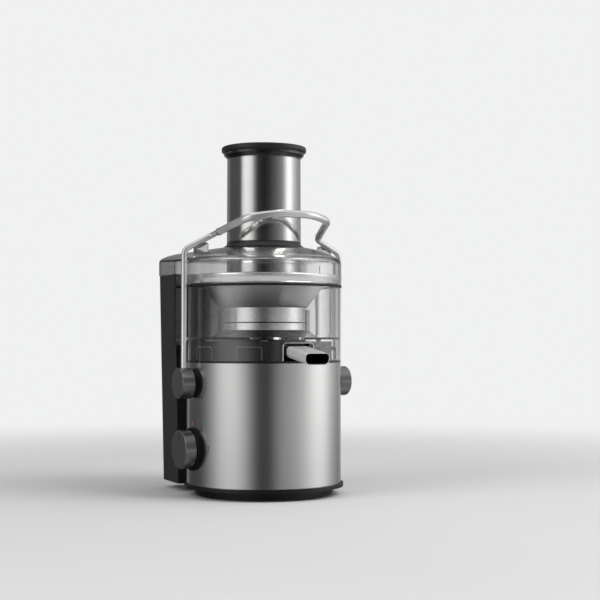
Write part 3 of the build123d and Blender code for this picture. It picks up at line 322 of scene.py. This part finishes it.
def spout_metal():
    """Satin steel outside, with painted shade inside the channel and behind the skirt."""
    steel = Finish("spout_steel")
    place = steel.node("ShaderNodeSeparateXYZ", Vector=steel.coordinates())
    x, y, z = (Value(steel.tree, place.outputs[axis]) for axis in range(3))
    above = (z - SPOUT_MOUTH[1]) * math.cos(SPOUT_LEAN) - (y - SPOUT_MOUTH[0]) * math.sin(SPOUT_LEAN)
    upper = above.math("GREATER_THAN", 0.0)
    corner = upper * (CHANNEL_CORNERS[1] - CHANNEL_CORNERS[0]) + CHANNEL_CORNERS[0]
    out_x = (x.math("ABSOLUTE") - CHANNEL_HALF[0] + corner).math("MAXIMUM", 0.0)
    out_z = (above.math("ABSOLUTE") - CHANNEL_HALF[1] + corner).math("MAXIMUM", 0.0)
    # Painted shade: the channel's inside and the part behind the skirt are coloured near black.
    inside = ((corner - (out_x * out_x + out_z * out_z).math("SQRT")) * 8000).clamp()
    painted_shade = inside.math("MAXIMUM", ((y - BEHIND_SKIRT_Y) * 2000).clamp())
    cloud = steel.noise(40.0, 3.0)
    colour = steel.ramp(painted_shade, [(0.0, (0.84, 0.84, 0.835)), (1.0, (0.012, 0.012, 0.012))])
    return steel.show(steel.surface(Base_Color=colour, Metallic=0.45, Specular_IOR_Level=0.4,
                                    Roughness=(cloud - 0.5) * 0.04 + painted_shade * 0.4 + 0.24))


# %% [markdown]
# The basket's hub is bright turned steel. A groove runs round it, and painted shade colours the finish near
# black at the groove's height where the surface lies below the hub's radius.

# %% Steel for the hub
HUB_R = 0.051
HUB_GROOVE_Z = 0.210
GROOVE_HALF = 0.0012
GROOVE_SKIN = 0.0001


def grooved_hub():
    """Bright turned steel with painted shade in the groove round it."""
    steel = Finish("hub_steel")
    place = steel.node("ShaderNodeSeparateXYZ", Vector=steel.coordinates())
    x, y, z = (Value(steel.tree, place.outputs[axis]) for axis in range(3))
    radius = (x * x + y * y).math("SQRT")
    # Painted shade: the groove is coloured near black.
    groove = ((HUB_R - GROOVE_SKIN - radius) * 6000).clamp()
    groove = groove * ((GROOVE_HALF - (z - HUB_GROOVE_Z).math("ABSOLUTE")) * 6000).clamp()
    streaks = steel.noise(1.0, 4.0, (4, 4, 1800))
    colour = steel.ramp(groove, [(0.0, (0.97, 0.968, 0.965)), (1.0, (0.03, 0.03, 0.03))])
    shader = steel.surface(Base_Color=colour, Metallic=0.88, Normal=steel.bump(streaks, 0.05, 0.0002),
                           Roughness=(streaks - 0.5) * 0.1 + 0.18)
    return steel.show(shader)


# %% [markdown]
# With the recipes above, each finish is one line: a colour, a gloss and, for some, a grain.

# %% The finishes
black_plastic = moulded("black_plastic", (0.022, 0.022, 0.023), 0.38)
gloss_black = moulded("gloss_black", (0.012, 0.012, 0.013), 0.2, strength=0.03)
container_plastic = shaded_container()
black_rubber = moulded("black_rubber", (0.014, 0.014, 0.014), 0.6, grain=700.0)
grey_plastic = moulded("grey_plastic", (0.09, 0.09, 0.09), 0.45)
carbon = moulded("carbon", (0.03, 0.03, 0.03), 0.5)
board_green = moulded("board_green", (0.02, 0.12, 0.05), 0.35)
copper = polished_steel("copper", (0.75, 0.36, 0.20), 0.3)
laminations = brushed_steel("laminations", (20, 20, 2200), (0.28, 0.28, 0.30), 0.45)
cast_aluminium = brushed_steel("cast_aluminium", (300, 300, 300), (0.5, 0.5, 0.51), 0.5)
clear_bowl = clear_plastic("clear_bowl", (0.965, 0.965, 0.965), 0.35, 0.02, 1.49)
clear_lid = clear_plastic("clear_lid", (0.96, 0.96, 0.96), 0.6, 0.02, 1.49)
clear_guard = clear_plastic("clear_guard", (0.98, 0.98, 0.98), 0.5, 0.01, 1.2)
clear_pads = clear_plastic("clear_pads", (0.75, 0.75, 0.75), 0.8, 0.12, 1.3)
ring_black = moulded("ring_black", (0.004, 0.004, 0.004), 0.5, gloss=0.25)
skirt_black = moulded("skirt_black", (0.010, 0.010, 0.010), 0.42, gloss=0.35)
spout_steel = spout_metal()
hub_steel = grooved_hub()
print(len(bpy.data.materials), "finishes")

# %% [markdown]
# Every part takes one finish. A part that comes with the frame keeps its mesh, so only the material in
# its slot changes.

# %% Give each part its finish
FINISHES = {
    wrap_steel: ["steel_wrap"],
    knob_steel: ["pivot_knob_left", "pivot_knob_right", "speed_dial"],
    bright_steel: ["pusher_sleeve", "sieve_rim"],
    spout_steel: ["spout"],
    hub_steel: ["basket_hub"],
    sieve_steel: ["sieve_mesh", "grater_disc"],
    handle_steel: ["handle_leg_left", "handle_leg_right", "handle_grip"],
    shaft_steel: ["rotor_shaft", "bottom_screws", "motor_screws", "dial_shaft", "lower_bearing",
                  "upper_bearing", "pivot_pin_left", "pivot_pin_right"],
    gloss_black: ["deck"],
    black_plastic: ["bottom_cover", "cooling_fan", "drive_coupling", "pusher_cap"],
    ring_black: ["pivot_bush_left", "pivot_bush_right", "dial_bezel"],
    container_plastic: ["pulp_container"],
    black_rubber: ["rubber_feet", "shaft_seal", "motor_mount_bushes", "cord_gland", "bowl_gasket"],
    grey_plastic: ["interlock_plunger", "interlock_switch", "rotary_switch"],
    carbon: ["carbon_brushes"],
    board_green: ["control_board"],
    copper: ["stator_coils", "brush_holders", "armature_windings", "commutator"],
    laminations: ["stator_core", "armature_core"],
    cast_aluminium: ["lower_bracket", "upper_bracket"],
    clear_bowl: ["bowl", "filter_bowl"],
    clear_guard: ["hub_guard"],
    clear_lid: ["lid"],
    clear_pads: ["latch_pads"],
    skirt_black: ["base_skirt", "rear_panel"],
}
finished = set()
for finish, names in FINISHES.items():
    for name in names:
        mesh = nodes[name].data
        mesh.materials.clear()
        mesh.materials.append(finish)
        finished.add(name)
print("finished", len(finished), "of", len(nodes), "parts; left:", sorted(set(nodes) - finished))

# %% [markdown]
# The frame holds the moulded and pressed parts. What is left is small: printed figures by the dial, bands on
# the handle, a trim round the spout's window and ribs inside the clear skirt. Each is its own mesh, moves
# with the body it sits on, and gets a finish of its own in its material slot.

# %% Helpers for new pieces
MM = 0.001


def add_piece(name, mesh, finish, body):
    """Shows a mesh as a piece that moves with one of the machine's bodies."""
    mesh.materials.clear()
    mesh.materials.append(finish)
    piece = bpy.data.objects.new(name, mesh)
    bpy.context.scene.collection.objects.link(piece)
    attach(piece, body)
    print(name, len(mesh.polygons), "faces, rides on", body)
    return piece


def turned_mesh(name, outline, segments=96, place=None):
    """A closed outline of (radius, height) points in mm, turned round the vertical axis."""
    form = bmesh.new()
    loops = []
    for step in range(segments):
        angle = 2 * math.pi * step / segments
        c, s = math.cos(angle), math.sin(angle)
        loops.append([form.verts.new((r * c * MM, r * s * MM, z * MM)) for r, z in outline])
    for here, there in zip(loops, loops[1:] + loops[:1]):
        for i in range(len(outline)):
            j = (i + 1) % len(outline)
            face = form.faces.new((here[i], there[i], there[j], here[j]))
            face.smooth = True
    bmesh.ops.recalc_face_normals(form, faces=form.faces)
    if place:
        form.transform(place)
    mesh = bpy.data.meshes.new(name)
    form.to_mesh(mesh)
    form.free()
    return mesh


def plain_mesh(obj):
    """The mesh of an object as its curve or modifiers make it, after which the object is dropped."""
    bpy.context.view_layer.update()
    shown = obj.evaluated_get(bpy.context.evaluated_depsgraph_get())
    mesh = bpy.data.meshes.new_from_object(shown)
    bpy.data.objects.remove(obj)
    return mesh


def tube_along(name, points, radius, closed=True):
    """A thin round bead that follows points in mm."""
    curve = bpy.data.curves.new(name, "CURVE")
    curve.dimensions = "3D"
    curve.bevel_depth = radius * MM
    curve.bevel_resolution = 3
    spline = curve.splines.new("POLY")
    spline.points.add(len(points) - 1)
    for point, place in zip(spline.points, points):
        point.co = (*[v * MM for v in place], 1)
    spline.use_cyclic_u = closed
    spline.use_smooth = True
    bead = bpy.data.objects.new(name, curve)
    bpy.context.scene.collection.objects.link(bead)
    return plain_mesh(bead)


# %% [markdown]
# The dial's figures are printed on the steel. Each is one stroke of ink, a flat ribbon along a short
# path, cut finely and wrapped round the casing a twentieth of a millimetre outside it. The orange mark
# shows where the dial is off.

# %% Figures and mark by the dial
CASING_R = 95.0
DIAL_Z = 58.0
PRINT_LIFT = 0.06
FIGURE_CIRCLE = 33.5
FIGURE_HALF = 2.5       # half the height of a figure
STROKE = 0.95
BOWL_OF_TWO = 1.35      # radius of the round top of the 2
MARK_Z = 88.5
MARK_SIZE = (1.6, 4.4)

ink = moulded("printed_ink", (0.03, 0.03, 0.03), 0.5)
orange_ink = moulded("orange_ink", (0.75, 0.22, 0.04), 0.5)


def wrap_on_casing(mesh, forward, height):
    """Wraps a flat mesh, in mm, round the casing's left side, at a distance forward and a height."""
    radius = CASING_R + PRINT_LIFT
    for corner in mesh.vertices:
        angle = (forward + corner.co.x) / CASING_R
        up = height + corner.co.y
        corner.co = Vector((-radius * math.cos(angle), -radius * math.sin(angle), up)) * MM
    mesh.update()


def finely_cut(mesh, cuts):
    form = bmesh.new()
    form.from_mesh(mesh)
    bmesh.ops.triangulate(form, faces=form.faces)
    bmesh.ops.subdivide_edges(form, edges=form.edges, cuts=cuts)
    form.to_mesh(mesh)
    form.free()


def stroke_mesh(name, path, width):
    """A flat ribbon along a path of (across, up) points, with mitred corners."""
    points = [Vector((*point, 0)) for point in path]
    form = bmesh.new()
    rails = []
    for index, point in enumerate(points):
        back = (point - points[max(index - 1, 0)]).normalized()
        ahead = (points[min(index + 1, len(points) - 1)] - point).normalized()
        run = (back + ahead).normalized()
        side = Vector((-run.y, run.x, 0))
        widen = max(side.dot(Vector((-ahead.y, ahead.x, 0))), side.dot(Vector((-back.y, back.x, 0))), 0.6)
        offset = side * (width / 2 / widen)
        rails.append((form.verts.new(point - offset), form.verts.new(point + offset)))
    for here, there in zip(rails, rails[1:]):
        form.faces.new((here[0], there[0], there[1], here[1]))
    mesh = bpy.data.meshes.new(name)
    form.to_mesh(mesh)
    form.free()
    return mesh


round_top = []
for degrees in range(165, -46, -15):
    angle = math.radians(degrees)
    round_top.append((BOWL_OF_TWO * math.cos(angle), FIGURE_HALF - BOWL_OF_TWO * (1 - math.sin(angle))))
FIGURES = {
    "1": (50, [(-1.2, 1.3), (0.3, FIGURE_HALF), (0.3, -FIGURE_HALF)]),
    "2": (4, round_top + [(-BOWL_OF_TWO, -FIGURE_HALF), (BOWL_OF_TWO, -FIGURE_HALF)]),
}
for text, (degrees, path) in FIGURES.items():
    figure = stroke_mesh("dial_figure_" + text, path, STROKE)
    finely_cut(figure, 1)
    angle = math.radians(degrees)
    wrap_on_casing(figure, FIGURE_CIRCLE * math.cos(angle), DIAL_Z + FIGURE_CIRCLE * math.sin(angle))
    add_piece("dial_figure_" + text, figure, ink, "base")

form = bmesh.new()
bmesh.ops.create_circle(form, cap_ends=True, segments=24, radius=1.0)
form.transform(Matrix.Diagonal((MARK_SIZE[0] / 2, MARK_SIZE[1] / 2, 1, 1)))
mark_mesh = bpy.data.meshes.new("off_mark")
form.to_mesh(mark_mesh)
form.free()
finely_cut(mark_mesh, 1)
wrap_on_casing(mark_mesh, 0.0, MARK_Z)
add_piece("off_mark", mark_mesh, orange_ink, "base")

# %% [markdown]
# A short band covers the place where each thin leg of the handle enters the thicker grip. It is turned
# on the vertical axis and then laid along the grip.

# %% Bands on the handle
LEG_TURN = Vector((73.0, -3.0, 315.0))
BOW_CORNER = Vector((54.0, -66.0, 333.0))
GRIP_START = 0.24
BAND = [(4.3, -1.6), (4.7, -1.4), (4.8, 0), (4.7, 1.4), (4.3, 1.6)]

band_steel = polished_steel("band_steel", (0.5, 0.5, 0.49), 0.18)
for side, name in ((-1, "handle_band_left"), (1, "handle_band_right")):
    flip = Matrix.Diagonal((side, 1, 1, 1))
    start = flip @ LEG_TURN
    run = flip @ BOW_CORNER - start
    turn = run.to_track_quat("Z", "Y").to_matrix().to_4x4()
    place = Matrix.Translation((start + run * GRIP_START) * MM) @ turn
    add_piece(name, turned_mesh(name, BAND, 40, place), band_steel, "handle")

# %% [markdown]
# Low in the clear lid runs a bright band, where the moulding turns over the basket's rim. A satin metal skin
# just inside the wall stands in for it as a painted highlight, with a rolled edge on top that catches the
# light from above.

# %% The lid's inner band
LID_BAND = [(91.8, 257.0), (92.6, 257.4), (92.2, 265.0), (92.7, 266.6), (92.5, 267.8), (91.9, 268.2),
            (91.3, 267.8), (91.5, 265.0)]
satin = Finish("highlight_band")
satin_cloud = satin.noise(12.0, 2.0)
satin_colour = satin.ramp(satin_cloud, [(0.3, (0.80, 0.80, 0.79)), (0.7, (0.86, 0.86, 0.85))])
satin_shader = satin.surface(Base_Color=satin_colour, Metallic=0.8, Roughness=satin_cloud * 0.08 + 0.16)
band_mesh = turned_mesh("lid_band", LID_BAND, 160)
add_piece("lid_band", band_mesh, satin.show(satin_shader), "base")

# %% [markdown]
# Two more lines read clearly through the lid: a moulded rib under the front of its shoulder, given a bright
# satin finish as a painted highlight, and the dark flared foot where the feed tube meets the dome.

# %% The shoulder's rib and the tube's foot
RIB_R = 90.4
RIB_Z = 284.8
RIB_BEAD = 0.5
TUBE_FOOT = [(45.5, 309.5), (45.9, 306.8), (47.0, 304.9), (49.6, 303.4), (49.6, 301.8), (45.5, 301.8)]

rib_points = []
for degrees in range(188, 353, 4):
    angle = math.radians(degrees)
    rib_points.append((RIB_R * math.cos(angle), RIB_R * math.sin(angle), RIB_Z))
rib = tube_along("shoulder_rib", rib_points, RIB_BEAD, False)
add_piece("shoulder_rib", rib, satin.material, "base")
foot_smoke = moulded("foot_smoke", (0.035, 0.035, 0.035), 0.16, strength=0.02)
add_piece("tube_foot", turned_mesh("tube_foot", TUBE_FOOT), foot_smoke, "base")

# %% [markdown]
# The spout leaves the bowl through a window in the clear skirt. A bright rounded trim frames it, bent
# to the skirt's curve.

# %% Trim round the spout's window
WINDOW_HALF = 20.0
WINDOW_TOP = 185.4
WINDOW_FOOT = 164.6
WINDOW_CORNER = 4.0
TRIM_R = 94.9
TRIM_BEAD = 0.5


def rounded_arch(half, foot, top, corner, steps=6):
    """Points (across, height) up one side, over a rounded top and down the other."""
    left = [(-half, foot)]
    for step in range(steps + 1):
        angle = math.pi / 2 * step / steps
        left.append((-half + corner - corner * math.cos(angle), top - corner + corner * math.sin(angle)))
    middle = [(across, top) for across in range(-12, 13, 4)]
    return left + middle + [(-across, height) for across, height in reversed(left)]


arch = rounded_arch(WINDOW_HALF, WINDOW_FOOT, WINDOW_TOP, WINDOW_CORNER)
on_skirt = [(TRIM_R * math.sin(u / TRIM_R), -TRIM_R * math.cos(u / TRIM_R), z) for u, z in arch]
add_piece("window_trim", tube_along("window_trim", on_skirt, TRIM_BEAD, False), bright_steel, "base")

# %% [markdown]
# Geometry Nodes set out whatever repeats in rings. One tree takes an item, the numbers of columns and
# rows, and the radius and height of the lowest and highest row, and puts an item at each place, turned
# to face outwards. The same tree makes the sieve's holes and the frames of the skirt's catches.


# %% A tree that sets items out in rings
RING_INPUTS = [("Item", "NodeSocketObject", None),
               ("Columns", "NodeSocketInt", 8), ("Rows", "NodeSocketInt", 1),
               ("Low radius", "NodeSocketFloat", 0.05), ("High radius", "NodeSocketFloat", 0.05),
               ("Low height", "NodeSocketFloat", 0.0), ("High height", "NodeSocketFloat", 0.0),
               ("Start", "NodeSocketFloat", 0.0), ("Step", "NodeSocketFloat", 0.1),
               ("Stagger", "NodeSocketFloat", 0.0), ("Tilt", "NodeSocketFloat", 0.0),
               ("Finish", "NodeSocketMaterial", None)]


def ring_tree():
    tree = bpy.data.node_groups.new("items_in_rings", "GeometryNodeTree")
    tree.interface.new_socket("Geometry", in_out="INPUT", socket_type="NodeSocketGeometry")
    for name, kind, value in RING_INPUTS:
        socket = tree.interface.new_socket(name, in_out="INPUT", socket_type=kind)
        if value is not None:
            socket.default_value = value
    tree.interface.new_socket("Geometry", in_out="OUTPUT", socket_type="NodeSocketGeometry")
    start = tree.nodes.new("NodeGroupInput")
    end = tree.nodes.new("NodeGroupOutput")

    def given(name):
        return Value(tree, start.outputs[name])

    def joined(x, y, z):
        node = tree.nodes.new("ShaderNodeCombineXYZ")
        for slot, value in enumerate((x, y, z)):
            if isinstance(value, Value):
                tree.links.new(value.socket, node.inputs[slot])
            else:
                node.inputs[slot].default_value = value
        return node.outputs[0]

    index = Value(tree, tree.nodes.new("GeometryNodeInputIndex").outputs[0])
    row = (index / given("Columns") + 0.0001).math("FLOOR")
    column = index - row * given("Columns")
    share = row / (given("Rows") - 1).math("MAXIMUM", 1.0)
    radius = given("Low radius") + (given("High radius") - given("Low radius")) * share
    height = given("Low height") + (given("High height") - given("Low height")) * share
    odd_row = row.math("MODULO", 2.0)
    angle = given("Start") + (column + odd_row * given("Stagger")) * given("Step")
    points = tree.nodes.new("GeometryNodePoints")
    tree.links.new((given("Columns") * given("Rows")).socket, points.inputs["Count"])
    place = joined(radius * angle.math("COSINE"), radius * angle.math("SINE"), height)
    tree.links.new(place, points.inputs["Position"])
    item = tree.nodes.new("GeometryNodeObjectInfo")
    tree.links.new(given("Item").socket, item.inputs["Object"])
    spread = tree.nodes.new("GeometryNodeInstanceOnPoints")
    tree.links.new(points.outputs[0], spread.inputs["Points"])
    tree.links.new(item.outputs["Geometry"], spread.inputs["Instance"])
    tree.links.new(joined(0.0, given("Tilt"), angle), spread.inputs["Rotation"])
    real = tree.nodes.new("GeometryNodeRealizeInstances")
    tree.links.new(spread.outputs[0], real.inputs[0])
    coat = tree.nodes.new("GeometryNodeSetMaterial")
    tree.links.new(real.outputs[0], coat.inputs["Geometry"])
    tree.links.new(given("Finish").socket, coat.inputs["Material"])
    tree.links.new(coat.outputs[0], end.inputs[0])
    return tree


RINGS = ring_tree()
print("the ring tree has", len(RINGS.nodes), "nodes")


def in_rings(name, item_mesh, finish, **sizes):
    """The mesh that the ring tree makes of an item. Sizes are named as the tree's inputs."""
    item = bpy.data.objects.new(name + "_item", item_mesh)
    bpy.context.scene.collection.objects.link(item)
    carrier = bpy.data.objects.new(name + "_carrier", bpy.data.meshes.new(name + "_carrier"))
    bpy.context.scene.collection.objects.link(carrier)
    modifier = carrier.modifiers.new("rings", "NODES")
    modifier.node_group = RINGS
    values = {"Item": item, "Finish": finish}
    values.update({key.replace("_", " "): value for key, value in sizes.items()})
    for socket in RINGS.interface.items_tree:
        if socket.in_out == "INPUT" and socket.name in values:
            modifier[socket.identifier] = values[socket.name]
    mesh = plain_mesh(carrier)
    bpy.data.objects.remove(item)
    mesh.name = name
    return mesh


# %% [markdown]
# The sieve lets juice through and holds the pulp. Its sheet is a plain cone in the frame, so the holes are
# small hexagons that lie on the cone's outer face, coloured near black as painted shade seen through them, in
# staggered rows that lean with the cone.

# %% The sieve's holes
SIEVE_LOW = (54.9, 230.2)
SIEVE_HIGH = (75.4, 256.4)
HOLE_R = 0.5
HOLE_COLUMNS = 132
HOLE_ROWS = 17
SIEVE_LIFT = 0.06

hole_shade = moulded("hole_shade", (0.03, 0.03, 0.03), 0.7)
slope = math.atan2(SIEVE_HIGH[0] - SIEVE_LOW[0], SIEVE_HIGH[1] - SIEVE_LOW[1])
form = bmesh.new()
bmesh.ops.create_circle(form, cap_ends=True, segments=6, radius=HOLE_R * MM)
form.transform(Matrix.Translation((SIEVE_LIFT * MM, 0, 0)) @ Matrix.Rotation(math.pi / 2, 4, "Y"))
hole_mesh = bpy.data.meshes.new("hole")
form.to_mesh(hole_mesh)
form.free()
holes = in_rings("sieve_holes", hole_mesh, hole_shade, Columns=HOLE_COLUMNS, Rows=HOLE_ROWS,
                 Low_radius=SIEVE_LOW[0] * MM, High_radius=SIEVE_HIGH[0] * MM, Low_height=SIEVE_LOW[1] * MM,
                 High_height=SIEVE_HIGH[1] * MM, Start=0.0, Step=2 * math.pi / HOLE_COLUMNS, Stagger=0.5,
                 Tilt=slope)
add_piece("sieve_holes", holes, hole_shade, "basket_drive")

# %% [markdown]
# Inside the clear skirt, eight moulded frames hold the catches that the bowl turns into. They are
# rounded outlines, and they leave the spout's window free.

# %% Catch frames in the skirt
FRAME_R = 90.4
FRAME_HALF = 15.0
FRAME_LOW = 165.4
FRAME_TOP = 180.5
FRAME_COUNT = 8
FIRST_FRAME = -127.0
FRAME_STEP = -286.0 / 7

outline = rounded_arch(FRAME_HALF, FRAME_LOW, FRAME_TOP, 2.5)
bent = [(FRAME_R * (math.cos(u / FRAME_R) - 1), FRAME_R * math.sin(u / FRAME_R), z) for u, z in outline]
frame_mesh = tube_along("catch_frame", bent, 0.6, False)
frame_plastic = moulded("frame_plastic", (0.10, 0.10, 0.10), 0.2, strength=0.02)
frames = in_rings("catch_frames", frame_mesh, frame_plastic, Columns=FRAME_COUNT, Rows=1,
                  Low_radius=FRAME_R * MM, High_radius=FRAME_R * MM, Start=math.radians(FIRST_FRAME),
                  Step=math.radians(FRAME_STEP))
add_piece("catch_frames", frames, frame_plastic, "base")

# %% [markdown]
# The studio is a pale floor that fades into the background behind the machine. Steel shows what stands round
# it, so the surroundings hold two tall bright windows, one on each side, with a dark room between them. Those
# are drawn in the world as a ramp over the compass direction. Only reflections see them, while the background
# and the soft fill light stay plain and pale.


# %% The floor
FLOOR_R = 1.6
FLOOR_SOLID_R = 0.45


def pale_floor():
    """A round floor that fades into the pale background."""
    form = bmesh.new()
    bmesh.ops.create_circle(form, cap_ends=True, segments=96, radius=FLOOR_R)
    mesh = bpy.data.meshes.new("floor")
    form.to_mesh(mesh)
    form.free()
    floor = bpy.data.objects.new("floor", mesh)
    bpy.context.scene.collection.objects.link(floor)
    paper = Finish("floor_paper")
    shade = paper.noise(2.0)
    colour = paper.ramp(shade, [(0.0, (0.80, 0.80, 0.80)), (1.0, (0.84, 0.84, 0.84))])
    place = paper.node("ShaderNodeSeparateXYZ", Vector=paper.coordinates())
    x, y = (Value(paper.tree, place.outputs[axis]) for axis in range(2))
    distance = (x * x + y * y).math("SQRT")
    fade = ((distance - FLOOR_SOLID_R) / (FLOOR_R - 0.1 - FLOOR_SOLID_R)).clamp()
    solid = 1 - fade * fade * (3 - 2 * fade)
    mesh.materials.append(paper.show(paper.surface(Base_Color=colour, Roughness=0.8, Alpha=solid)))
    floor.visible_glossy = False


pale_floor()
print("floor radius", FLOOR_R, "m")

# %% [markdown]
# A level table gives the room's brightness round the horizon, and a second one the brightness above it.
# Both are written as degrees to the right of the way the camera looks, because that is how they read in
# the steel. A pale ceiling closes the room.

# %% The world: a room for reflections, plain light for the rest
# Degrees from the camera's direction, and the brightness of the room there.
LOW_ROOM = [(-180, 0.85), (-158, 0.40), (-141, 0.10), (-120, 0.10), (-104, 0.13), (-90, 0.36), (-77, 0.68),
            (-64, 1.02), (-50, 1.18), (-40, 1.12), (-28, 0.84), (-18, 0.40), (-9, 0.13), (0, 0.09), (9, 0.12),
            (18, 0.36), (28, 0.56), (46, 0.73), (58, 0.95), (70, 1.25), (80, 1.48), (95, 1.50), (106, 1.20),
            (119, 0.72), (141, 0.34), (160, 0.45), (180, 0.85)]
HIGH_ROOM = [(-180, 0.30), (-158, 0.20), (-130, 0.09), (-95, 0.08), (-82, 0.10), (-71, 0.85),
             (-62, 1.05), (-50, 1.00), (-40, 0.75), (-30, 0.25), (-20, 0.04), (0, 0.012), (20, 0.04),
             (41, 0.12), (56, 0.22), (66, 0.38), (76, 0.90), (85, 1.45), (98, 1.40), (110, 0.85),
             (123, 0.60), (150, 0.30), (180, 0.30)]
CAMERA_DIRECTION = math.degrees(math.atan2(-ahead.y, -ahead.x))


class Room(Finish):
    """The world's node tree, with the same helpers as a material."""

    def __init__(self, name):
        self.world = bpy.data.worlds.new(name)
        self.material = self.world
        self.world.use_nodes = True
        self.tree = self.world.node_tree
        self.tree.nodes.clear()
        self.output = self.tree.nodes.new("ShaderNodeOutputWorld")


room = Room("studio")
direction = room.node("ShaderNodeTexCoord").outputs["Generated"]
axes = room.node("ShaderNodeSeparateXYZ", Vector=direction)
across = Value(room.tree, axes.outputs[1]).math("ARCTAN2", Value(room.tree, axes.outputs[0]))
turn = (across / (2 * math.pi) + (1.5 - CAMERA_DIRECTION / 360)).math("FRACT")
height = Value(room.tree, axes.outputs[2])


def room_walls(levels):
    return room.ramp(turn, [((degrees + 180) / 360, (level, level, level)) for degrees, level in levels])


upper = ((height + 0.02) * 14).clamp()
walls = room.node("ShaderNodeMix", {"data_type": "RGBA"}, i0=upper, i6=room_walls(LOW_ROOM),
                  i7=room_walls(HIGH_ROOM)).outputs[2]
ceiling = ((height - 0.6) * 4).clamp()
overhead = room.node("ShaderNodeMix", {"data_type": "RGBA"}, i0=ceiling, i6=walls, i7=(0.6, 0.6, 0.6, 1))
dimmer_low = (height * 4.5 + 1.15).clamp().math("MAXIMUM", 0.35)
room_light = room.node("ShaderNodeBackground", Color=overhead.outputs[2], Strength=dimmer_low)
plain_light = room.node("ShaderNodeBackground", Color=(0.92, 0.925, 0.93, 1), Strength=0.95)
ray = room.node("ShaderNodeLightPath")
straight = Value(room.tree, ray.outputs["Is Camera Ray"])
straight = straight.math("MAXIMUM", Value(room.tree, ray.outputs["Is Transmission Ray"]))
bounces = Value(room.tree, ray.outputs["Glossy Depth"]) + Value(room.tree, ray.outputs["Diffuse Depth"])
seen = straight * bounces.math("LESS_THAN", 0.5)
world_mix = room.node("ShaderNodeMixShader", i0=seen, i1=room_light.outputs[0], i2=plain_light.outputs[0])
room.show(world_mix.outputs[0])
bpy.context.scene.world = room.world
print("the room has", len(LOW_ROOM), "levels below and", len(HIGH_ROOM), "above")

# %% [markdown]
# Two soft lamps, from the front right and the left, lift the blacks. They don't show in reflections.


# %% Soft lamps
def soft_lamp(name, azimuth, elevation, distance, size, power):
    """A soft square lamp that shines on the machine and isn't itself reflected."""
    light = bpy.data.lights.new(name, "AREA")
    light.shape = "SQUARE"
    light.size = size
    light.energy = power
    lamp = bpy.data.objects.new(name, light)
    a, e = math.radians(azimuth), math.radians(elevation)
    offset = Vector((math.sin(a) * math.cos(e), -math.cos(a) * math.cos(e), math.sin(e)))
    lamp.location = offset * distance + Vector((0, 0, 0.2))
    lamp.rotation_euler = (-offset).to_track_quat("-Z", "Y").to_euler()
    lamp.visible_glossy = False
    bpy.context.scene.collection.objects.link(lamp)


soft_lamp("key_lamp", 40, 45, 2.2, 1.2, 22)
soft_lamp("fill_lamp", -80, 30, 2.2, 1.2, 10)
print(len(bpy.data.lights), "lamps")
